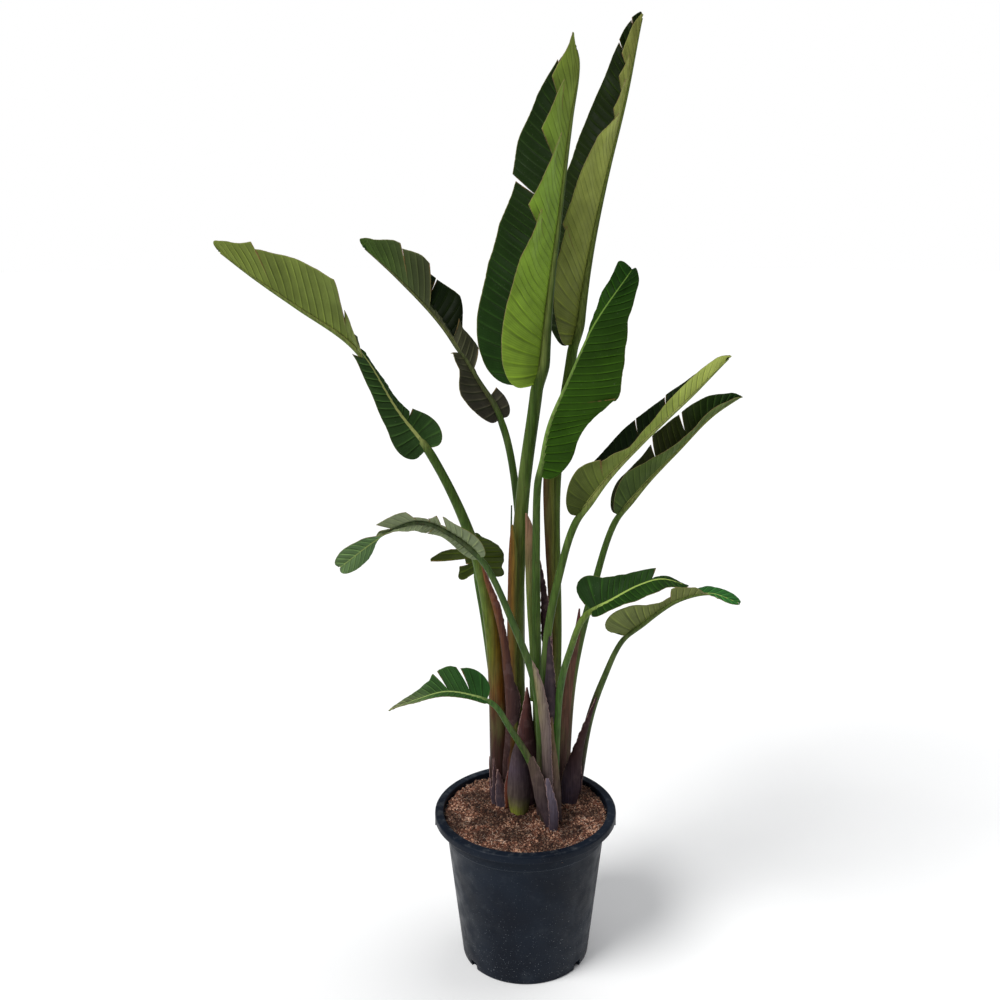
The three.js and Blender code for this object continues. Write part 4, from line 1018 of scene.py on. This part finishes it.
pot = {
    "rim": 152.5, "height": 264.5, "base": 108, "wall": 3, "lipDrop": 13, "lipWidth": 14.5, "lipRound": 4,
    "lipDraft": 0.3, "collar": 135.5, "collarDrop": 38, "collarStep": 0.6, "bodyTop": 132.5, "floor": 4,
    "axisGap": 0.1, "sides": 192, "sharpAngle": 38,
    "tabWidth": 30, "tabDrop": 24, "tabThickness": 2.4, "tabSteps": 13, "tabCorner": 0.3, "tabRise": 4,
    "tabTop": 2, "tabInto": 0.05, "notches": [53, 90, 127, 233, 270, 307],
    "notchWidth": 16, "notchHeight": 13, "notchDepth": 16, "notchOut": 2,
}


def roundCorner(before, corner, after, radius, steps=5):  # an arc that replaces one corner of a profile
    a, b, c = [np.array(p, float) for p in (before, corner, after)]
    start, end = b + unit(a - b) * radius, b + unit(c - b) * radius
    t = np.linspace(0, 1, steps)[:, None]
    return ((1 - t) ** 2 * start + 2 * t * (1 - t) * b + t ** 2 * end).tolist()


def tube(rows, wide, base=0):  # the faces of rings of points, each above the last, with both ends closed
    ends = [range(wide)[::-1], range((rows - 1) * wide, rows * wide)]
    return [[base + i for i in face] for face in bands(rows, wide, closed=True).tolist() + ends]


def turned(name, profile, sides):  # a lathe about Z of radius and height pairs
    angles = np.arange(sides) * 2 * math.pi / sides
    ring = np.stack([np.cos(angles), np.sin(angles)], 1)
    points = np.concatenate([np.concatenate([ring * r, np.full((sides, 1), z)], 1) for r, z in profile])
    return makeMesh(name, points * mm, faces=tube(len(profile), sides))


def potProfile():
    foot, top, inner = pot["axisGap"], pot["height"], pot["rim"] - pot["lipWidth"]
    collarFoot, lipFoot = top - pot["collarDrop"], top - pot["lipDrop"]
    corners = [  # each with its rounding
        ((foot, 0), 0), ((pot["base"], 0), 3), ((pot["bodyTop"], collarFoot), 0.6),
        ((pot["collar"], collarFoot + pot["collarStep"]), 0.8), ((pot["collar"], lipFoot), 1.2),
        ((pot["rim"], lipFoot), 1.4), ((pot["rim"], top), pot["lipRound"]), ((inner, top), 2),
        ((inner - pot["lipDraft"], lipFoot), 2),
        ((pot["bodyTop"] - pot["wall"], collarFoot), 1), ((pot["base"] - pot["wall"], pot["floor"]), 2),
        ((foot, pot["floor"]), 0)]
    profile = []
    for i, (corner, radius) in enumerate(corners):
        profile += roundCorner(corners[i - 1][0], corner, corners[i + 1][0], radius) if radius else [corner]
    return profile


def tabMesh():  # a grip tab hangs from the lip at the left and the right
    points, faces = [], []
    top = pot["height"] - pot["lipRound"]
    inside, outside = pot["rim"] - pot["tabThickness"], pot["rim"] - pot["tabInto"]
    for side in (0, 180):
        shares = np.linspace(-0.5, 0.5, pot["tabSteps"])
        faces += tube(len(shares), 4, len(points))
        for share in shares:
            a = math.radians(share * math.degrees(pot["tabWidth"] / pot["rim"]) + side)
            rise = pot["tabRise"] * max(0, 1 - (1 - abs(2 * share)) / pot["tabCorner"]) ** 2
            low, high = top - pot["tabDrop"] + rise, top - pot["tabTop"]
            for r, z in ((inside, low), (outside, low), (outside, high), (inside, high)):
                points.append((r * math.cos(a), r * math.sin(a), z))
    mesh = makeMesh("tabs", np.array(points) * mm, faces=faces)
    return reshape(mesh, lambda whole: bmesh.ops.recalc_face_normals(whole, faces=whole.faces))


def notchMesh():  # a box for each drain notch at the foot
    points, faces = [], []
    for turn in np.radians(pot["notches"]):
        c, s = math.cos(turn), math.sin(turn)
        faces += tube(2, 4, len(points))
        for z in (-pot["notchHeight"], pot["notchHeight"]):
            for x, y in ((-0.5, -0.5), (0.5, -0.5), (0.5, 0.5), (-0.5, 0.5)):
                x, y = x * pot["notchWidth"], y * pot["notchDepth"] - pot["base"] - pot["notchOut"]
                points.append((x * c - y * s, x * s + y * c, z))
    return makeMesh("notches", np.array(points) * mm, faces=faces)


def makePot():
    piece = makeObject("nurseryPot", turned("nurseryPot", potProfile(), pot["sides"]))
    for mesh, operation in ((tabMesh(), "UNION"), (notchMesh(), "DIFFERENCE")):
        other = makeObject(mesh.name, mesh)
        modifier = piece.modifiers.new("join", "BOOLEAN")
        modifier.operation, modifier.solver, modifier.object = operation, "EXACT", other
        keepResult(piece)
        bpy.data.objects.remove(other)
    piece.data.materials.clear()
    piece.data.materials.append(skins["pot"])
    piece.data.shade_smooth()
    piece.data.set_sharp_from_angle(angle=math.radians(pot["sharpAngle"]))
    finishPiece(piece, "pot_plastic", "pot")


makePot()
print("pot made")


# soil: a lumpy top with crumbs and curly fibres strewn over it

soil = {
    "level": 255, "rings": 96, "sectors": 300, "edge": 135, "bottom": 4.4,
    "side": [(95, 4.4), (103, 16), (128, 226.5)],
    # each lump has a seed, a size, a shift and a height
    "lumps": [(1, 17, 0, 2.6), (2, 7, 3, 1.6), (3, 3.1, 0, 1.0), (4, 1.5, 0, 0.5)],
    "heap": 5, "heapAt": (10, 25), "heapWidth": 60,
}


def soilHeight(x, y):
    broad, middling, small, fine = [fieldNoise(seed, x / size + shift, y / size) * height
                                    for seed, size, shift, height in soil["lumps"]]
    atX, atY = soil["heapAt"]
    heap = soil["heap"] * np.exp(-((x - atX) ** 2 + (y - atY) ** 2) / soil["heapWidth"] ** 2)
    return soil["level"] + (broad + middling) + (small + fine) + heap


def makeSoil():
    wide = soil["sectors"]
    angles = np.arange(wide) * 2 * math.pi / wide
    radii = soil["edge"] * np.linspace(1, 0, soil["rings"], endpoint=False)
    rows = []
    for r, z in soil["side"] + [(r, None) for r in radii]:
        x, y = r * np.cos(angles), r * np.sin(angles)
        rows.append(np.stack([x, y, soilHeight(x, y) if z is None else np.full(wide, float(z))], 1))
    middle = float(soilHeight(np.zeros(1), np.zeros(1))[0])
    points = np.vstack(rows + [[[0, 0, soil["bottom"]], [0, 0, middle]]])
    top, last = len(points) - 1, (len(rows) - 1) * wide
    pairs = [(j, (j + 1) % wide) for j in range(wide)]
    faces = bands(len(rows), wide, closed=True).tolist()
    faces += [(top - 1, b, a) for a, b in pairs] + [(top, last + a, last + b) for a, b in pairs]
    piece = makeObject("soilBed", makeMesh("soilBed", points * mm, faces=faces))
    piece.data.materials.append(skins["soil"])
    piece.data.shade_smooth()
    finishPiece(piece, "soil", "soil")
    return piece


crumb = {"radius": 0.5, "seed": 5, "least": 0.7, "spread": 0.55}
fibre = {"steps": 9, "wave": (0.16, 5.2), "rise": (0.07, 7, 1), "thickness": 0.032, "thinning": 0.6,
         "ring": (0, 2.09, 4.19)}
strewSet = {"facing": 0.2, "lowest": 0.23, "toneSeed": 7, "turnSeed": 11, "sizeSeed": 13}  # lowest in metres
looseBits = [  # least and most are their turns, in radians; Density is pieces to a square metre
    {"name": "soilCrumbs", "tree": "strewCrumbs", "skin": "crumb",
     "least": (0, 0, 0), "most": (6.283, 6.283, 6.283),
     "values": {"Density": 42000.0, "Smallest": 1.0, "Largest": 4.6, "Seed": 3}},
    {"name": "soilFibres", "tree": "strewFibres", "skin": "fibre",
     "least": (-0.35, -0.35, 0), "most": (0.35, 0.35, 6.283),
     "values": {"Density": 26000.0, "Smallest": 6.0, "Largest": 15.0, "Seed": 8}},
]


def crumbMesh():  # a small knobbly lump 1 mm across
    def build(lump):
        bmesh.ops.create_icosphere(lump, subdivisions=1, radius=crumb["radius"] * mm)
        rng = np.random.default_rng(crumb["seed"])
        for v in lump.verts:
            v.co *= crumb["least"] + crumb["spread"] * rng.random()
    return reshape(bpy.data.meshes.new("crumb"), build)


def fibreMesh():  # one curly strand of coir, 1 mm long before it is scaled
    t = np.linspace(0, 1, fibre["steps"])
    (sway, swayPitch), (rise, risePitch, risePhase) = fibre["wave"], fibre["rise"]
    spots = np.stack([t - 0.5, sway * np.sin(t * swayPitch), rise * np.sin(t * risePitch + risePhase)], 1)
    points = []
    for share, spot in zip(t, spots):
        thin = fibre["thickness"] * (1 - fibre["thinning"] * abs(2 * share - 1) ** 2)
        points += [spot + [0, thin * math.cos(a), thin * math.sin(a)] for a in fibre["ring"]]
    sides = bands(len(t), 3, closed=True)[:, [0, 3, 2, 1]].tolist()
    ends = [(0, 1, 2), tuple(len(points) - k for k in (1, 2, 3))]
    return makeMesh("fibre", np.array(points) * mm, faces=sides + ends)


def strewTree(name, least, most):  # copies of one shape strewn over an upward-facing surface
    tree, keys, given = startTree(name, {
        "Shape": "Object", "Density": "Float", "Smallest": "Float", "Largest": "Float", "Seed": "Int",
        "Material": "Material"})
    upward = lambda vector: addNode(tree, "ShaderNodeSeparateXYZ", {"Vector": vector}).outputs["Z"]
    chance = lambda output, inputs, kind="FLOAT": addNode(
        tree, "FunctionNodeRandomValue", inputs, data_type=kind).outputs[output]
    facingUp = maths(tree, "GREATER_THAN", upward(geo(tree, "InputNormal")), strewSet["facing"])
    highUp = maths(tree, "GREATER_THAN", upward(geo(tree, "InputPosition")), strewSet["lowest"])
    onTop = maths(tree, "MULTIPLY", facingUp, highUp)
    points = geo(tree, "DistributePointsOnFaces", {
        "Mesh": given["Geometry"], "Selection": onTop, "Density": given["Density"], "Seed": given["Seed"]})
    tone = chance(1, {"Seed": strewSet["toneSeed"]})
    points = geo(tree, "StoreNamedAttribute", {"Geometry": points, "Name": "tone", "Value": tone},
                 data_type="FLOAT", domain="POINT")
    turn = chance(0, {0: least, 1: most, "Seed": strewSet["turnSeed"]}, "FLOAT_VECTOR")
    turn = addNode(tree, "FunctionNodeEulerToRotation", {"Euler": turn}).outputs[0]
    size = chance(1, {2: given["Smallest"], 3: given["Largest"], "Seed": strewSet["sizeSeed"]})
    shape = addNode(tree, "GeometryNodeObjectInfo", {"Object": given["Shape"]},
                    transform_space="ORIGINAL").outputs["Geometry"]
    copies = geo(tree, "InstanceOnPoints", {
        "Points": points, "Instance": shape, "Rotation": turn, "Scale": size})
    real = geo(tree, "RealizeInstances", {"Geometry": copies})
    return endTree(tree, keys, geo(tree, "SetMaterial", {"Geometry": real, "Material": given["Material"]}))


def strew(bed, mesh, kind):
    shape = makeObject(mesh.name + "Shape", mesh)
    piece = makeObject(kind["name"], bed.data.copy())
    tree = strewTree(kind["tree"], kind["least"], kind["most"])
    grow(piece, tree, {"Shape": shape, "Material": skins[kind["skin"]], **kind["values"]})
    bpy.data.objects.remove(shape)
    finishPiece(piece, "soil")
    print(kind["name"], triangleCount(piece), "triangles")


bed = makeSoil()
for mesh, kind in zip((crumbMesh(), fibreMesh()), looseBits):
    strew(bed, mesh, kind)
print("soil made")


# floor, light and camera

studio = {
    "floorRadius": 30.0, "floor": "fbfbfa", "world": "f6f8ff", "worldStrength": 0.26, "seen": "ffffff",
    "segments": 96, "sunDistance": 3,
    "suns": [("keySun", (-0.60, -0.45, 0.90), 2.5, 30), ("topSun", (0.35, 0.25, 1.0), 1.0, 50)],
}
# the lens makes 1100 pixels of focal length in a frame 1000 pixels wide, on a 36 mm sensor
camera = {"lens": 39.6, "sensor": 36.0, "shift": -0.0255, "place": (0, -1.676, 1.220), "down": 14.1}


def makeStudio():
    mesh = reshape(bpy.data.meshes.new("studioFloor"), lambda floor: bmesh.ops.create_circle(
        floor, cap_ends=True, segments=studio["segments"], radius=studio["floorRadius"]))
    paper = Paint("paleStudioPaper", Roughness=0.9)  # matt and near white, it takes a soft shadow
    paper.shader.inputs["Base Color"].default_value = hexColour(studio["floor"])
    mesh.materials.append(paper.material)
    piece = makeObject("studioFloor", mesh)
    world = bpy.data.worlds.new("studioWorld")
    world.use_nodes = True
    bpy.context.scene.world = world
    tree = world.node_tree
    back = tree.nodes["Background"]
    back.inputs["Color"].default_value = hexColour(studio["world"])
    back.inputs["Strength"].default_value = studio["worldStrength"]
    seen = addNode(tree, "ShaderNodeBackground", {"Color": hexColour(studio["seen"]), "Strength": 1.0})
    direct = addNode(tree, "ShaderNodeLightPath").outputs["Is Camera Ray"]
    mix = addNode(tree, "ShaderNodeMixShader", {0: direct, 1: back.outputs[0], 2: seen.outputs[0]})
    tree.links.new(mix.outputs[0], tree.nodes["World Output"].inputs["Surface"])
    for name, toward, strength, spread in studio["suns"]:
        data = bpy.data.lights.new(name, "SUN")
        data.energy = strength
        data.angle = math.radians(spread)
        lamp = makeObject(name, data)
        lamp.location = Vector(toward) * studio["sunDistance"]
        lamp.rotation_mode = "QUATERNION"
        lamp.rotation_quaternion = (-Vector(toward)).to_track_quat("-Z", "Y")


def makeCamera():
    data = bpy.data.cameras.new("viewer")
    data.lens, data.sensor_width, data.shift_x = camera["lens"], camera["sensor"], camera["shift"]
    viewer = makeObject("viewer", data)
    viewer.location = camera["place"]
    viewer.rotation_euler = (math.radians(90 - camera["down"]), 0, 0)
    bpy.context.scene.camera = viewer


makeStudio()
makeCamera()
bpy.context.scene.view_settings.view_transform = "Standard"
print("done")
